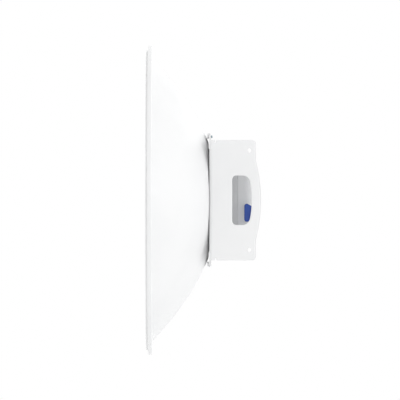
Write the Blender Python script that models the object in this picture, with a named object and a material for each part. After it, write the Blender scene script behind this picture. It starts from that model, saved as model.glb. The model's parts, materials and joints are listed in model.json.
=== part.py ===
"""Point-to-point parabolic dish antenna with a folded mounting bracket and a twist-lock port.

Lengths are metres. Every piece is drawn in antenna coordinates: x runs backwards along
the dish axis from the front face of the bracket plate, y and z run across it, +z up.
The part's origin lies on the outer face of the near side web of the bracket.
"""

import math

import bmesh
import bpy
from mathutils import Vector

MM = 0.001
FIT_GAP = 0.3 * MM
CUT_OVERRUN = 2 * MM

# Place of the antenna axis in the part's frame
PLATE_FRONT_X = -24.9 * MM
BRACKET_HALF_WIDTH = 97 * MM

# Reflector: a pressed sheet paraboloid with a flat centre pad, and its rim: a flat flange with a lip
FOCAL_LENGTH = 140.9 * MM
VERTEX_X = 18.9 * MM
DISH_SHEET = 1.5 * MM
DISH_RADIUS = 293.4 * MM
BOWL_RADIUS = 268 * MM
BOWL_HOLE_RADIUS = 28 * MM
PAD_RADIUS = 96 * MM
PAD_STEP_WIDTH = 3 * MM
SHOULDER_X = -2.1 * MM
LIP_DEPTH = 8.4 * MM
LIP_BEND_RADIUS = 3 * MM
DISH_SIDES = 64
BOWL_ROWS = 8

# Edge ring in the flange's channel
EDGE_RING_OUTER = 284.2 * MM
EDGE_RING_INNER = 276 * MM
EDGE_RING_FRONT_X = -120.8 * MM
EDGE_RING_ROUND = 1.6 * MM
EDGE_RING_STEPS = 2

# Feed: waveguide tube, dielectric lens, subreflector and cap
TUBE_RADIUS = 22 * MM
TUBE_BORE = 20 * MM
TUBE_FRONT_X = -85 * MM
TUBE_REAR_X = 44 * MM
FEED_FLANGE_RADIUS = 45 * MM
FEED_FLANGE_THICK = 4 * MM
LENS_PLUG_LENGTH = 25 * MM
LENS_TIP_RADIUS = 10 * MM
LENS_RADIUS = 50 * MM
LENS_CONE_LENGTH = 22 * MM
LENS_RIM = 2.5 * MM
SUBREFLECTOR_RADIUS = 54 * MM
SUBREFLECTOR_THICK = 2.5 * MM
CAP_THICK = 3.6 * MM
CAP_EDGE_ROUND = 1.8 * MM
ROUND_SIDES = 32

# Bracket: one folded sheet with a base plate, two side webs and two hems
BRACKET_SHEET = 3 * MM
BEND_RADIUS = 6.5 * MM
WEB_HALF_HEIGHT = 114.5 * MM
WEB_DEPTH = 87.2 * MM
WEB_BULGE_DEPTH = 9.9 * MM
WEB_BULGE_HALF_HEIGHT = 76 * MM
WEB_CORNER = 7.6 * MM
HEM_HALF_WIDTH = 42 * MM
HEM_TOP = 127.3 * MM
HEM_INNER_RADIUS = 0.875 * MM
HEM_RETURN = 6.6 * MM
NOTCH_X = (9 * MM, 12.8 * MM)
NOTCH_DEPTH = 4.75 * MM
WINDOW_X = (43.5 * MM, 80.4 * MM)
WINDOW_REAR_RADIUS = 197.4 * MM
WINDOW_HALF_HEIGHT = 46.8 * MM
WINDOW_FRONT_CORNER = 7.6 * MM
WINDOW_REAR_CORNER = 15 * MM
WEB_HOLE_X = 75.4 * MM
WEB_HOLE_Z = 94.5 * MM
WEB_HOLE_RADIUS = 4.25 * MM
WEB_HOLE_SIDES = 24
PLATE_DRILL_START_X = -1 * MM
BEND_STEPS = 4
ARC_STEPS = 5

# Fasteners
BOLT_Y = 30 * MM
BOLT_Z = 82 * MM
BOLT_RADIUS = 4 * MM
BOLT_HEX_RADIUS = 7.4 * MM
BOLT_HEAD = 5.3 * MM
BOLT_END_X = 14 * MM
NUT_HEIGHT = 6.5 * MM
HEX_CHAMFER = 0.8 * MM
FEED_SCREW_OFFSET = 24 * MM
FEED_SCREW_RADIUS = 2 * MM
FEED_SCREW_HEAD_RADIUS = 4 * MM
FEED_SCREW_HEAD = 3 * MM
PORT_SCREW_OFFSET = 50 * MM
PORT_SCREW_RADIUS = 2.5 * MM
PORT_SCREW_HEAD_RADIUS = 4.4 * MM
PORT_SCREW_HEAD = 3.4 * MM
GROUND_SCREW_Y = -30 * MM
GROUND_SCREW_Z = 120.6 * MM
GROUND_SCREW_RADIUS = 1.5 * MM
GROUND_SCREW_HEAD_RADIUS = 2.6 * MM
GROUND_SCREW_HEAD = 2.2 * MM
SCREW_CROWN_RADIUS_SHARE = 0.7
SCREW_CROWN_HEIGHT_SHARE = 0.4
SCREW_SIDES = 12

# Port housing: a drafted base and a rear shell with a round twist-lock socket
PORT_HALF = 70 * MM
PORT_FRONT_HALF = 66.5 * MM
PORT_REAR_HALF = 68.8 * MM
PORT_CORNER = 20 * MM
PORT_PARTING_X = 53.6 * MM
PORT_REAR_X = 80.2 * MM
PORT_REAR_ROUND = 13 * MM
PORT_WALL = 4 * MM
SHELL_POCKET_X = 73 * MM
SHELL_POCKET_HALF = 65 * MM
PORT_BOSS_RADIUS = 6 * MM
PORT_BOSS_SIDES = 16
SOCKET_RADIUS = 50 * MM
SOCKET_WALL = 3.5 * MM
SOCKET_FLOOR_X = 36.5 * MM
GASKET_RADII = (29 * MM, 36 * MM)
GASKET_HEIGHT = 3.6 * MM
GASKET_CROWN = 1.2 * MM
LOCK_RING_FRONT_X = 64 * MM
LOCK_RING_WALL = 3.2 * MM
LOCK_LIP_RADIUS = 42.5 * MM
LOCK_LIP_THICK = 4 * MM
LOCK_SLOTS = 3
LOCK_SLOT_HALF_WIDTH = 12 * MM
LOCK_SLOT_INNER = 21 * MM

# Lock lever, hinged beside the near wall of the port on an axis along x
LEVER_PIVOT = Vector((74 * MM, -78.5 * MM, -13.6 * MM))
LEVER_FRONT_X = 66.4 * MM
LEVER_REAR_X = 81.2 * MM
LEVER_TOP_Z = -6.6 * MM
LEVER_SLANT_Z = -11.4 * MM
LEVER_BOTTOM_Z = -41 * MM
LEVER_BOTTOM_REAR_X = 77.3 * MM
LEVER_TIP_FRONT_ROUND = 4.3 * MM
LEVER_TIP_REAR_ROUND = 6 * MM
LEVER_TIP_STEPS = 4
LEVER_TOP_ROUND = 4.5 * MM
LEVER_TOP_END_DEG = 70
LEVER_PLATE_Y = (-86 * MM, -82.3 * MM)
LEVER_EDGE_ROUND = 1.1 * MM
LEVER_EDGE_STEPS = 2
HINGE_EAR_RADIUS = 2.9 * MM
HINGE_LUG_HALF_WIDTH = 2.5 * MM
HINGE_LUG_ROOT_Y = -65.3 * MM
HINGE_SIDE_GAP = 0.5 * MM
HINGE_CHEEK_WIDTH = 2.5 * MM
PIN_RADIUS = 1.5 * MM
PIN_OVERHANG = 0.8 * MM

SMOOTH_ANGLE = math.radians(30)

# Colour, roughness and metallic value of each finish
FINISHES = {
    "white_coat": ((0.86, 0.86, 0.85), 0.42, 0.0),
    "edge_grey": ((0.62, 0.63, 0.64), 0.55, 0.0),
    "bare_aluminium": ((0.72, 0.73, 0.74), 0.32, 1.0),
    "lens_plastic": ((0.80, 0.79, 0.75), 0.35, 0.0),
    "cap_plastic": ((0.78, 0.79, 0.80), 0.45, 0.0),
    "port_plastic": ((0.46, 0.46, 0.47), 0.50, 0.0),
    "black_rubber": ((0.03, 0.03, 0.03), 0.80, 0.0),
    "lever_blue": ((0.04, 0.09, 0.30), 0.38, 0.0),
    "steel": ((0.60, 0.60, 0.61), 0.30, 1.0),
    "ground_zinc": ((0.18, 0.28, 0.33), 0.35, 1.0),
}


def clear_scene():
    """Start from an empty scene."""
    for item in list(bpy.data.objects):
        bpy.data.objects.remove(item, do_unlink=True)


def make_materials():
    """One plain material for each finish."""
    materials = {}
    for name, (colour, roughness, metallic) in FINISHES.items():
        material = bpy.data.materials.new(name)
        material.use_nodes = True
        shader = material.node_tree.nodes["Principled BSDF"]
        shader.inputs["Base Color"].default_value = (*colour, 1.0)
        shader.inputs["Roughness"].default_value = roughness
        shader.inputs["Metallic"].default_value = metallic
        materials[name] = material
    return materials


def make_axis():
    """Empty on the dish axis that every piece hangs from."""
    axis = bpy.data.objects.new("antenna_axis", None)
    axis.location = (PLATE_FRONT_X, BRACKET_HALF_WIDTH, 0.0)
    bpy.context.collection.objects.link(axis)
    return axis


# Outlines across the dish axis, each a ring of points at one x


def circle(x, radius, sides=ROUND_SIDES, centre=(0.0, 0.0)):
    """Round ring about a centre."""
    turns = [2 * math.pi * i / sides for i in range(sides)]
    return [Vector((x, centre[0] + radius * math.cos(t), centre[1] + radius * math.sin(t))) for t in turns]


def hexagon(x, radius, centre, steps=2):
    """Hexagonal ring with the corners at the given radius and points along its sides."""
    corners = circle(x, radius, 6, centre)
    ring = []
    for i, corner in enumerate(corners):
        following = corners[(i + 1) % 6]
        ring.extend(corner.lerp(following, step / steps) for step in range(steps))
    return ring


def rounded_square(x, half, corner, steps=ARC_STEPS):
    """Square ring with rounded corners."""
    ring = []
    reach = half - corner
    for quarter, (side_y, side_z) in enumerate(((1, 1), (-1, 1), (-1, -1), (1, -1))):
        for step in range(steps + 1):
            turn = math.pi / 2 * (quarter + step / steps)
            y = side_y * reach + corner * math.cos(turn)
            z = side_z * reach + corner * math.sin(turn)
            ring.append(Vector((x, y, z)))
    return ring


def arc(centre, radius, start_deg, end_deg, steps=ARC_STEPS):
    """Points along an arc in a plane, ends included."""
    points = []
    for step in range(steps + 1):
        turn = math.radians(start_deg + (end_deg - start_deg) * step / steps)
        points.append((centre[0] + radius * math.cos(turn), centre[1] + radius * math.sin(turn)))
    return points


def round_outline(centre, radius, sides):
    """Points of a circle in a plane."""
    return arc(centre, radius, 0, 360, sides)[:-1]


# Solids


def finish_mesh(bm, name):
    """Turn a bmesh into a mesh with outward faces and smooth round sides."""
    mesh = bpy.data.meshes.new(name)
    bm.to_mesh(mesh)
    bm.free()
    mesh.shade_smooth()
    mesh.set_sharp_from_angle(angle=SMOOTH_ANGLE)
    return mesh


def loft_into(bm, rings, closed=False):
    """Skin a row of equal rings, capped at both ends unless the row closes on itself."""
    rows = [[bm.verts.new(point) for point in ring] for ring in rings]
    count = len(rows[0])
    pairs = list(zip(rows, rows[1:]))
    if closed:
        pairs.append((rows[-1], rows[0]))
    faces = []
    for row, following in pairs:
        for i in range(count):
            j = (i + 1) % count
            faces.append(bm.faces.new((row[i], row[j], following[j], following[i])))
    if not closed:
        faces.append(bm.faces.new(rows[0]))
        faces.append(bm.faces.new(rows[-1]))
    bmesh.ops.recalc_face_normals(bm, faces=faces)


def loft_mesh(name, rings, closed=False):
    """One lofted solid as a mesh."""
    bm = bmesh.new()
    loft_into(bm, rings, closed)
    return finish_mesh(bm, name)


def prism_rings(outline, plane, low, high):
    """Two equal rings of an outline drawn in the xz or yz plane, at both ends of its width."""
    rings = []
    for level in (low, high):
        if plane == "xz":
            rings.append([Vector((a, level, b)) for a, b in outline])
        else:
            rings.append([Vector((level, a, b)) for a, b in outline])
    return rings


class Workshop:
    """Places pieces on the antenna axis and holds the materials."""

    def __init__(self):
        self.materials = make_materials()
        self.axis = make_axis()

    def place(self, name, mesh, finish, location=(0.0, 0.0, 0.0)):
        """Add a visible piece."""
        piece = bpy.data.objects.new(name, mesh)
        piece.data.materials.clear()
        piece.data.materials.append(self.materials[finish])
        piece.parent = self.axis
        piece.location = location
        bpy.context.collection.objects.link(piece)
        return piece

    def helper(self, name, ring_sets, location=(0.0, 0.0, 0.0)):
        """Add a hidden tool body made of separate lofted solids."""
        bm = bmesh.new()
        for rings in ring_sets:
            loft_into(bm, rings)
        tool = bpy.data.objects.new(name, finish_mesh(bm, name))
        tool.parent = self.axis
        tool.location = location
        tool.hide_render = True
        tool.display_type = "WIRE"
        bpy.context.collection.objects.link(tool)
        return tool

    def combine(self, piece, tool, operation):
        """Cut a tool body from a piece, or join it on."""
        boolean = piece.modifiers.new(tool.name, "BOOLEAN")
        boolean.operation = operation
        boolean.solver = "EXACT"
        boolean.object = tool

    def cut(self, piece, name, ring_sets, location=(0.0, 0.0, 0.0)):
        """Cut separate lofted solids out of a piece."""
        self.combine(piece, self.helper(name, ring_sets, location), "DIFFERENCE")

    def join(self, piece, name, ring_sets, location=(0.0, 0.0, 0.0)):
        """Join separate lofted solids onto a piece."""
        self.combine(piece, self.helper(name, ring_sets, location), "UNION")


def bar_rings(start, end, radius, centres, sides=SCREW_SIDES):
    """Round bars along x at each centre."""
    return [[circle(start, radius, sides, centre), circle(end, radius, sides, centre)] for centre in centres]


def four_corners(y, z):
    """The four mirrored positions of a fastener."""
    return [(y, z), (-y, z), (-y, -z), (y, -z)]


# Reflector and edge ring


def bowl_x(radius):
    """Height of the rear surface of the paraboloid at a radius."""
    return VERTEX_X - radius * radius / (4 * FOCAL_LENGTH)


def bowl_line():
    """Rear surface of the bowl from the centre hole out to the flange, as (x, radius)."""
    line = [(-FIT_GAP, BOWL_HOLE_RADIUS), (-FIT_GAP, PAD_RADIUS), (SHOULDER_X, PAD_RADIUS + PAD_STEP_WIDTH)]
    shoulder_radius = math.sqrt((VERTEX_X - SHOULDER_X) * 4 * FOCAL_LENGTH)
    for row in range(BOWL_ROWS + 1):
        radius = shoulder_radius + (BOWL_RADIUS - shoulder_radius) * row / BOWL_ROWS
        line.append((bowl_x(radius), radius))
    return line


def rim_line():
    """Rear surface of the flat flange and its lip, as (x, radius)."""
    flange_x = bowl_x(BOWL_RADIUS)
    bend_centre = (flange_x - LIP_BEND_RADIUS, DISH_RADIUS - LIP_BEND_RADIUS)
    line = [(flange_x, BOWL_RADIUS + FIT_GAP)]
    line.extend(arc(bend_centre, LIP_BEND_RADIUS, 0, 90, BEND_STEPS))
    line.append((flange_x - LIP_DEPTH, DISH_RADIUS))
    return line


def spun_sheet(shop, name, rear_line):
    """Pressed sheet: its rear surface is spun about the axis and thickened towards the front."""
    bm = bmesh.new()
    line = [bm.verts.new((x, 0.0, radius)) for x, radius in rear_line]
    edges = [bm.edges.new(pair) for pair in zip(line, line[1:])]
    bmesh.ops.spin(
        bm,
        geom=line + edges,
        cent=(0.0, 0.0, 0.0),
        axis=(1.0, 0.0, 0.0),
        angle=2 * math.pi,
        steps=DISH_SIDES,
        use_merge=True,
    )
    face_along(bm, Vector((1.0, 0.0, 0.0)))
    piece = shop.place(name, finish_mesh(bm, name), "white_coat")
    thicken(piece, DISH_SHEET)
    return piece


def make_reflector(shop):
    """The bowl, drilled for its bolts and feed screws, and the rim around it."""
    reflector = spun_sheet(shop, "reflector", bowl_line())
    start = -DISH_SHEET - CUT_OVERRUN
    screw_places = four_corners(FEED_SCREW_OFFSET, FEED_SCREW_OFFSET)
    drills = bar_rings(start, CUT_OVERRUN, BOLT_RADIUS + FIT_GAP, four_corners(BOLT_Y, BOLT_Z))
    drills += bar_rings(start, CUT_OVERRUN, FEED_SCREW_RADIUS + FIT_GAP, screw_places)
    shop.cut(reflector, "reflector_drills", drills)
    spun_sheet(shop, "reflector_rim", rim_line())


def face_along(bm, direction):
    """Turn an open surface so that its flattest face towards a direction looks that way."""
    bmesh.ops.recalc_face_normals(bm, faces=bm.faces)
    bm.normal_update()
    best = max(bm.faces, key=lambda face: abs(face.normal.dot(direction)))
    if best.normal.dot(direction) < 0:
        bmesh.ops.reverse_faces(bm, faces=bm.faces)


def thicken(piece, thickness):
    """Give a sheet its thickness on the side away from its normals."""
    solidify = piece.modifiers.new("sheet", "SOLIDIFY")
    solidify.thickness = thickness
    solidify.offset = -1.0
    solidify.use_even_offset = True


def make_edge_ring(shop):
    """Rounded ring seated on the front of the flange."""
    seat = bowl_x(BOWL_RADIUS) - DISH_SHEET - FIT_GAP
    front = EDGE_RING_FRONT_X
    soft = EDGE_RING_ROUND
    section = [(seat, EDGE_RING_OUTER)]
    section.extend(arc((front + soft, EDGE_RING_OUTER - soft), soft, 90, 180, EDGE_RING_STEPS))
    section.extend(arc((front + soft, EDGE_RING_INNER + soft), soft, 180, 270, EDGE_RING_STEPS))
    section.append((seat, EDGE_RING_INNER))
    rings = [circle(x, radius, DISH_SIDES) for x, radius in section]
    shop.place("edge_ring", loft_mesh("edge_ring", rings, closed=True), "edge_grey")


# Feed


def make_feed_tube(shop):
    """Waveguide tube with a screwed flange on the flat centre of the dish."""
    flange_rear = -DISH_SHEET - 2 * FIT_GAP
    flange_front = flange_rear - FEED_FLANGE_THICK
    section = [
        (TUBE_FRONT_X, TUBE_BORE),
        (TUBE_FRONT_X, TUBE_RADIUS),
        (flange_front, TUBE_RADIUS),
        (flange_front, FEED_FLANGE_RADIUS),
        (flange_rear, FEED_FLANGE_RADIUS),
        (flange_rear, TUBE_RADIUS),
        (TUBE_REAR_X, TUBE_RADIUS),
        (TUBE_REAR_X, TUBE_BORE),
    ]
    rings = [circle(x, radius) for x, radius in section]
    tube = shop.place("feed_tube", loft_mesh("feed_tube", rings, closed=True), "bare_aluminium")
    places = four_corners(FEED_SCREW_OFFSET, FEED_SCREW_OFFSET)
    start = flange_front - CUT_OVERRUN
    end = flange_rear + CUT_OVERRUN
    shop.cut(tube, "feed_flange_drills", bar_rings(start, end, FEED_SCREW_RADIUS + FIT_GAP, places))


def make_feed_head(shop):
    """Dielectric lens plugged into the tube, with the subreflector and cap stacked on it."""
    plug_radius = TUBE_BORE - FIT_GAP
    collar_x = TUBE_FRONT_X - FIT_GAP
    cone_end = collar_x - LENS_CONE_LENGTH
    lens_front = cone_end - LENS_RIM
    lens = [
        (TUBE_FRONT_X + LENS_PLUG_LENGTH, LENS_TIP_RADIUS),
        (TUBE_FRONT_X, plug_radius),
        (collar_x, plug_radius),
        (collar_x, TUBE_RADIUS),
        (cone_end, LENS_RADIUS),
        (lens_front, LENS_RADIUS),
    ]
    rings = [circle(x, radius) for x, radius in lens]
    shop.place("feed_lens", loft_mesh("feed_lens", rings), "lens_plastic")

    plate_rear = lens_front - FIT_GAP
    plate_front = plate_rear - SUBREFLECTOR_THICK
    rings = [circle(plate_rear, SUBREFLECTOR_RADIUS), circle(plate_front, SUBREFLECTOR_RADIUS)]
    shop.place("subreflector", loft_mesh("subreflector", rings), "bare_aluminium")

    cap_rear = plate_front - FIT_GAP
    edge_centre = (cap_rear - CAP_THICK + CAP_EDGE_ROUND, SUBREFLECTOR_RADIUS - CAP_EDGE_ROUND)
    cap = [(cap_rear, SUBREFLECTOR_RADIUS)]
    cap.extend(arc(edge_centre, CAP_EDGE_ROUND, 90, 180, BEND_STEPS))
    rings = [circle(x, radius) for x, radius in cap]
    shop.place("feed_cap", loft_mesh("feed_cap", rings), "cap_plastic")


# Bracket


def bracket_skin():
    """Front and outer surface of the folded sheet, before its hems, as (x, y)."""
    far_x = WEB_DEPTH + WEB_BULGE_DEPTH + CUT_OVERRUN
    reach = BRACKET_HALF_WIDTH - BEND_RADIUS
    line = [(far_x, BRACKET_HALF_WIDTH)]
    line.extend(arc((BEND_RADIUS, reach), BEND_RADIUS, 90, 180, BEND_STEPS))
    line.append((0.0, HEM_HALF_WIDTH))
    mirrored = [(x, -y) for x, y in reversed(line)]
    return line + mirrored


def fold_hem(bm, side):
    """Carry the plate past the webs at one end and fold its edge over towards the dish."""
    fold_z = HEM_TOP - HEM_INNER_RADIUS - BRACKET_SHEET
    edge = next(
        e for e in bm.edges
        if all(abs(v.co.x) < FIT_GAP and abs(v.co.y) <= HEM_HALF_WIDTH + FIT_GAP for v in e.verts)
        and all(abs(v.co.z - side * WEB_HALF_HEIGHT) < FIT_GAP for v in e.verts)
    )
    grown = bmesh.ops.extrude_edge_only(bm, edges=[edge])["geom"]
    verts = [item for item in grown if isinstance(item, bmesh.types.BMVert)]
    bmesh.ops.translate(bm, verts=verts, vec=(0.0, 0.0, side * (fold_z - WEB_HALF_HEIGHT)))
    tip = [item for item in grown if isinstance(item, bmesh.types.BMEdge)
           and all(v in verts for v in item.verts)]
    turned = bmesh.ops.spin(
        bm,
        geom=verts + tip,
        cent=(-HEM_INNER_RADIUS, 0.0, side * fold_z),
        axis=(0.0, -1.0, 0.0),
        angle=side * math.pi,
        steps=2 * BEND_STEPS,
        use_merge=False,
    )["geom_last"]
    last_edges = [item for item in turned if isinstance(item, bmesh.types.BMEdge)]
    grown = bmesh.ops.extrude_edge_only(bm, edges=last_edges)["geom"]
    verts = [item for item in grown if isinstance(item, bmesh.types.BMVert)]
    bmesh.ops.translate(bm, verts=verts, vec=(0.0, 0.0, -side * HEM_RETURN))


def web_trim_outline():
    """Area behind the webs' rear edge, as (x, z): what is cut away from the sheet."""
    above = WEB_HALF_HEIGHT + CUT_OVERRUN
    corner_x = WEB_DEPTH - WEB_CORNER
    corner_z = WEB_HALF_HEIGHT - WEB_CORNER
    radius = (WEB_BULGE_HALF_HEIGHT ** 2 + WEB_BULGE_DEPTH ** 2) / (2 * WEB_BULGE_DEPTH)
    half_turn = math.degrees(math.asin(WEB_BULGE_HALF_HEIGHT / radius))
    centre_x = WEB_DEPTH + WEB_BULGE_DEPTH - radius
    outer_x = WEB_DEPTH + WEB_BULGE_DEPTH + 4 * CUT_OVERRUN
    outline = [(outer_x, above), (corner_x, above)]
    outline.extend(arc((corner_x, corner_z), WEB_CORNER, 90, 0))
    outline.extend(arc((centre_x, 0.0), radius, half_turn, -half_turn, 3 * ARC_STEPS))
    outline.extend(arc((corner_x, -corner_z), WEB_CORNER, 0, -90))
    outline.extend([(corner_x, -above), (outer_x, -above)])
    return outline


def window_outline():
    """Grip window of the side web, as (x, z): square in front, round and bulged behind."""
    front, rear = WINDOW_X
    corner = WINDOW_REAR_CORNER
    corner_z = WINDOW_HALF_HEIGHT - corner
    bulge_centre_x = rear - WINDOW_REAR_RADIUS
    corner_turn = math.asin(corner_z / (WINDOW_REAR_RADIUS - corner))
    corner_x = bulge_centre_x + (WINDOW_REAR_RADIUS - corner) * math.cos(corner_turn)
    corner_deg = math.degrees(corner_turn)
    front_centre = (front + WINDOW_FRONT_CORNER, WINDOW_HALF_HEIGHT - WINDOW_FRONT_CORNER)
    upper = arc((bulge_centre_x, 0.0), WINDOW_REAR_RADIUS, 0, corner_deg)
    upper.extend(arc((corner_x, corner_z), corner, corner_deg, 90)[1:])
    upper.extend(arc(front_centre, WINDOW_FRONT_CORNER, 90, 180))
    lower = [(x, -z) for x, z in reversed(upper[1:])]
    return upper + lower


def notch_outline(side):
    """Relief notch in the upper or lower edge of the webs, as (x, z)."""
    front, rear = NOTCH_X
    round_radius = (rear - front) / 2
    floor_z = WEB_HALF_HEIGHT - NOTCH_DEPTH + round_radius
    outline = [(rear, WEB_HALF_HEIGHT + CUT_OVERRUN), (front, WEB_HALF_HEIGHT + CUT_OVERRUN)]
    outline.extend(arc((front + round_radius, floor_z), round_radius, 180, 360))
    return [(x, side * z) for x, z in outline]


def make_bracket(shop):
    """Folded bracket: skin, hems, sheet thickness, then everything punched through it."""
    bm = bmesh.new()
    line = [bm.verts.new((x, y, -WEB_HALF_HEIGHT)) for x, y in bracket_skin()]
    edges = [bm.edges.new(pair) for pair in zip(line, line[1:])]
    grown = bmesh.ops.extrude_edge_only(bm, edges=edges)["geom"]
    verts = [item for item in grown if isinstance(item, bmesh.types.BMVert)]
    bmesh.ops.translate(bm, verts=verts, vec=(0.0, 0.0, 2 * WEB_HALF_HEIGHT))
    for side in (1, -1):
        fold_hem(bm, side)
    face_along(bm, Vector((-1.0, 0.0, 0.0)))
    bracket = shop.place("bracket", finish_mesh(bm, "bracket"), "white_coat")
    thicken(bracket, BRACKET_SHEET)

    wide = BRACKET_HALF_WIDTH + CUT_OVERRUN
    shop.cut(bracket, "web_trim", [prism_rings(web_trim_outline(), "xz", -wide, wide)])
    shop.cut(bracket, "web_windows", [prism_rings(window_outline(), "xz", -wide, wide)])
    notches = [prism_rings(notch_outline(side), "xz", -wide, wide) for side in (1, -1)]
    shop.cut(bracket, "web_notches", notches)
    holes = []
    for side in (1, -1):
        outline = round_outline((WEB_HOLE_X, side * WEB_HOLE_Z), WEB_HOLE_RADIUS, WEB_HOLE_SIDES)
        holes.append(prism_rings(outline, "xz", -wide, wide))
    shop.cut(bracket, "web_holes", holes)

    start = PLATE_DRILL_START_X
    end = BRACKET_SHEET + CUT_OVERRUN
    drills = bar_rings(start, end, TUBE_RADIUS + FIT_GAP, [(0.0, 0.0)], ROUND_SIDES)
    drills += bar_rings(start, end, BOLT_RADIUS + FIT_GAP, four_corners(BOLT_Y, BOLT_Z))
    feed_places = four_corners(FEED_SCREW_OFFSET, FEED_SCREW_OFFSET)
    drills += bar_rings(start, end, FEED_SCREW_RADIUS + FIT_GAP, feed_places)
    port_places = four_corners(PORT_SCREW_OFFSET, PORT_SCREW_OFFSET)
    drills += bar_rings(start, end, PORT_SCREW_RADIUS + FIT_GAP, port_places)
    drills += bar_rings(start, end, GROUND_SCREW_RADIUS + FIT_GAP, [(GROUND_SCREW_Y, GROUND_SCREW_Z)])
    shop.cut(bracket, "plate_drills", drills)


# Fasteners


def screw_rings(seat_x, end_x, centre, head, head_radius, radius):
    """Round-headed screw: its head sits at seat_x and its shank runs to end_x."""
    way = math.copysign(1.0, seat_x - end_x)
    top = seat_x + way * head
    return [
        circle(top, head_radius * SCREW_CROWN_RADIUS_SHARE, SCREW_SIDES, centre),
        circle(top - way * head * SCREW_CROWN_HEIGHT_SHARE, head_radius, SCREW_SIDES, centre),
        circle(seat_x, head_radius, SCREW_SIDES, centre),
        circle(seat_x, radius, SCREW_SIDES, centre),
        circle(end_x, radius, SCREW_SIDES, centre),
    ]


def make_bracket_bolts(shop):
    """Hexagon bolts through the dish and the bracket plate, with their nuts."""
    head_x = -DISH_SHEET - 2 * FIT_GAP
    head_top = head_x - BOLT_HEAD
    nut_front = BRACKET_SHEET + FIT_GAP
    nut_rear = nut_front + NUT_HEIGHT
    sides = len(hexagon(0.0, 1.0, (0.0, 0.0)))
    for number, centre in enumerate(four_corners(BOLT_Y, BOLT_Z), 1):
        rings = [
            circle(head_top, BOLT_HEX_RADIUS - 2 * HEX_CHAMFER, sides, centre),
            hexagon(head_top + HEX_CHAMFER, BOLT_HEX_RADIUS, centre),
            hexagon(head_x, BOLT_HEX_RADIUS, centre),
            circle(head_x, BOLT_RADIUS, sides, centre),
            circle(BOLT_END_X - HEX_CHAMFER, BOLT_RADIUS, sides, centre),
            circle(BOLT_END_X, BOLT_RADIUS - HEX_CHAMFER, sides, centre),
        ]
        shop.place(f"bracket_bolt_{number}", loft_mesh("bracket_bolt", rings), "steel")
        rings = [
            hexagon(nut_front, BOLT_HEX_RADIUS, centre),
            hexagon(nut_rear - HEX_CHAMFER, BOLT_HEX_RADIUS, centre),
            circle(nut_rear, BOLT_HEX_RADIUS - 2 * HEX_CHAMFER, sides, centre),
            circle(nut_rear, BOLT_RADIUS + FIT_GAP, sides, centre),
            circle(nut_front, BOLT_RADIUS + FIT_GAP, sides, centre),
        ]
        shop.place(f"bracket_nut_{number}", loft_mesh("bracket_nut", rings, closed=True), "steel")


def make_small_screws(shop):
    """Feed flange screws, long port screws and the earthing screw on the upper tab."""
    seat_x = -DISH_SHEET - 3 * FIT_GAP - FEED_FLANGE_THICK
    end_x = BRACKET_SHEET - FIT_GAP
    shape = (FEED_SCREW_HEAD, FEED_SCREW_HEAD_RADIUS, FEED_SCREW_RADIUS)
    for number, centre in enumerate(four_corners(FEED_SCREW_OFFSET, FEED_SCREW_OFFSET), 1):
        rings = screw_rings(seat_x, end_x, centre, *shape)
        shop.place(f"feed_screw_{number}", loft_mesh("feed_screw", rings), "steel")
    seat_x = PORT_REAR_X - PORT_SCREW_HEAD - 2 * FIT_GAP
    shape = (PORT_SCREW_HEAD, PORT_SCREW_HEAD_RADIUS, PORT_SCREW_RADIUS)
    for number, centre in enumerate(four_corners(PORT_SCREW_OFFSET, PORT_SCREW_OFFSET), 1):
        rings = screw_rings(seat_x, FIT_GAP, centre, *shape)
        shop.place(f"port_screw_{number}", loft_mesh("port_screw", rings), "steel")
    seat_x = BRACKET_SHEET + FIT_GAP
    shape = (GROUND_SCREW_HEAD, GROUND_SCREW_HEAD_RADIUS, GROUND_SCREW_RADIUS)
    rings = screw_rings(seat_x, FIT_GAP, (GROUND_SCREW_Y, GROUND_SCREW_Z), *shape)
    shop.place("ground_screw", loft_mesh("ground_screw", rings), "ground_zinc")


# Port housing


def make_port_base(shop):
    """Open tub on the bracket plate with a post for each long screw."""
    front = BRACKET_SHEET + FIT_GAP
    floor = front + PORT_WALL
    rings = [
        rounded_square(front, PORT_FRONT_HALF, PORT_CORNER),
        rounded_square(PORT_PARTING_X, PORT_HALF, PORT_CORNER),
    ]
    base = shop.place("port_base", loft_mesh("port_base", rings), "port_plastic")
    inner_corner = PORT_CORNER - PORT_WALL
    pocket = [
        rounded_square(floor, PORT_FRONT_HALF - PORT_WALL, inner_corner),
        rounded_square(PORT_PARTING_X + CUT_OVERRUN, PORT_HALF - PORT_WALL, inner_corner),
    ]
    shop.cut(base, "port_base_pocket", [pocket])
    places = four_corners(PORT_SCREW_OFFSET, PORT_SCREW_OFFSET)
    posts = bar_rings(floor - CUT_OVERRUN, PORT_PARTING_X, PORT_BOSS_RADIUS, places, PORT_BOSS_SIDES)
    shop.join(base, "port_base_posts", posts)
    start = front - CUT_OVERRUN
    drills = bar_rings(start, PORT_PARTING_X + CUT_OVERRUN, PORT_SCREW_RADIUS + FIT_GAP, places)
    drills += bar_rings(start, floor + CUT_OVERRUN, TUBE_RADIUS + FIT_GAP, [(0.0, 0.0)], ROUND_SIDES)
    shop.cut(base, "port_base_drills", drills)


def shell_rings():
    """Outer form of the rear shell: slight draft, then a rounded rear edge."""
    rings = [rounded_square(PORT_PARTING_X + FIT_GAP, PORT_HALF, PORT_CORNER)]
    for step in range(ARC_STEPS + 1):
        turn = math.pi / 2 * step / ARC_STEPS
        shrink = PORT_REAR_ROUND * (1 - math.cos(turn))
        x = PORT_REAR_X - PORT_REAR_ROUND * (1 - math.sin(turn))
        rings.append(rounded_square(x, PORT_REAR_HALF - shrink, PORT_CORNER - shrink))
    return rings


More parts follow.
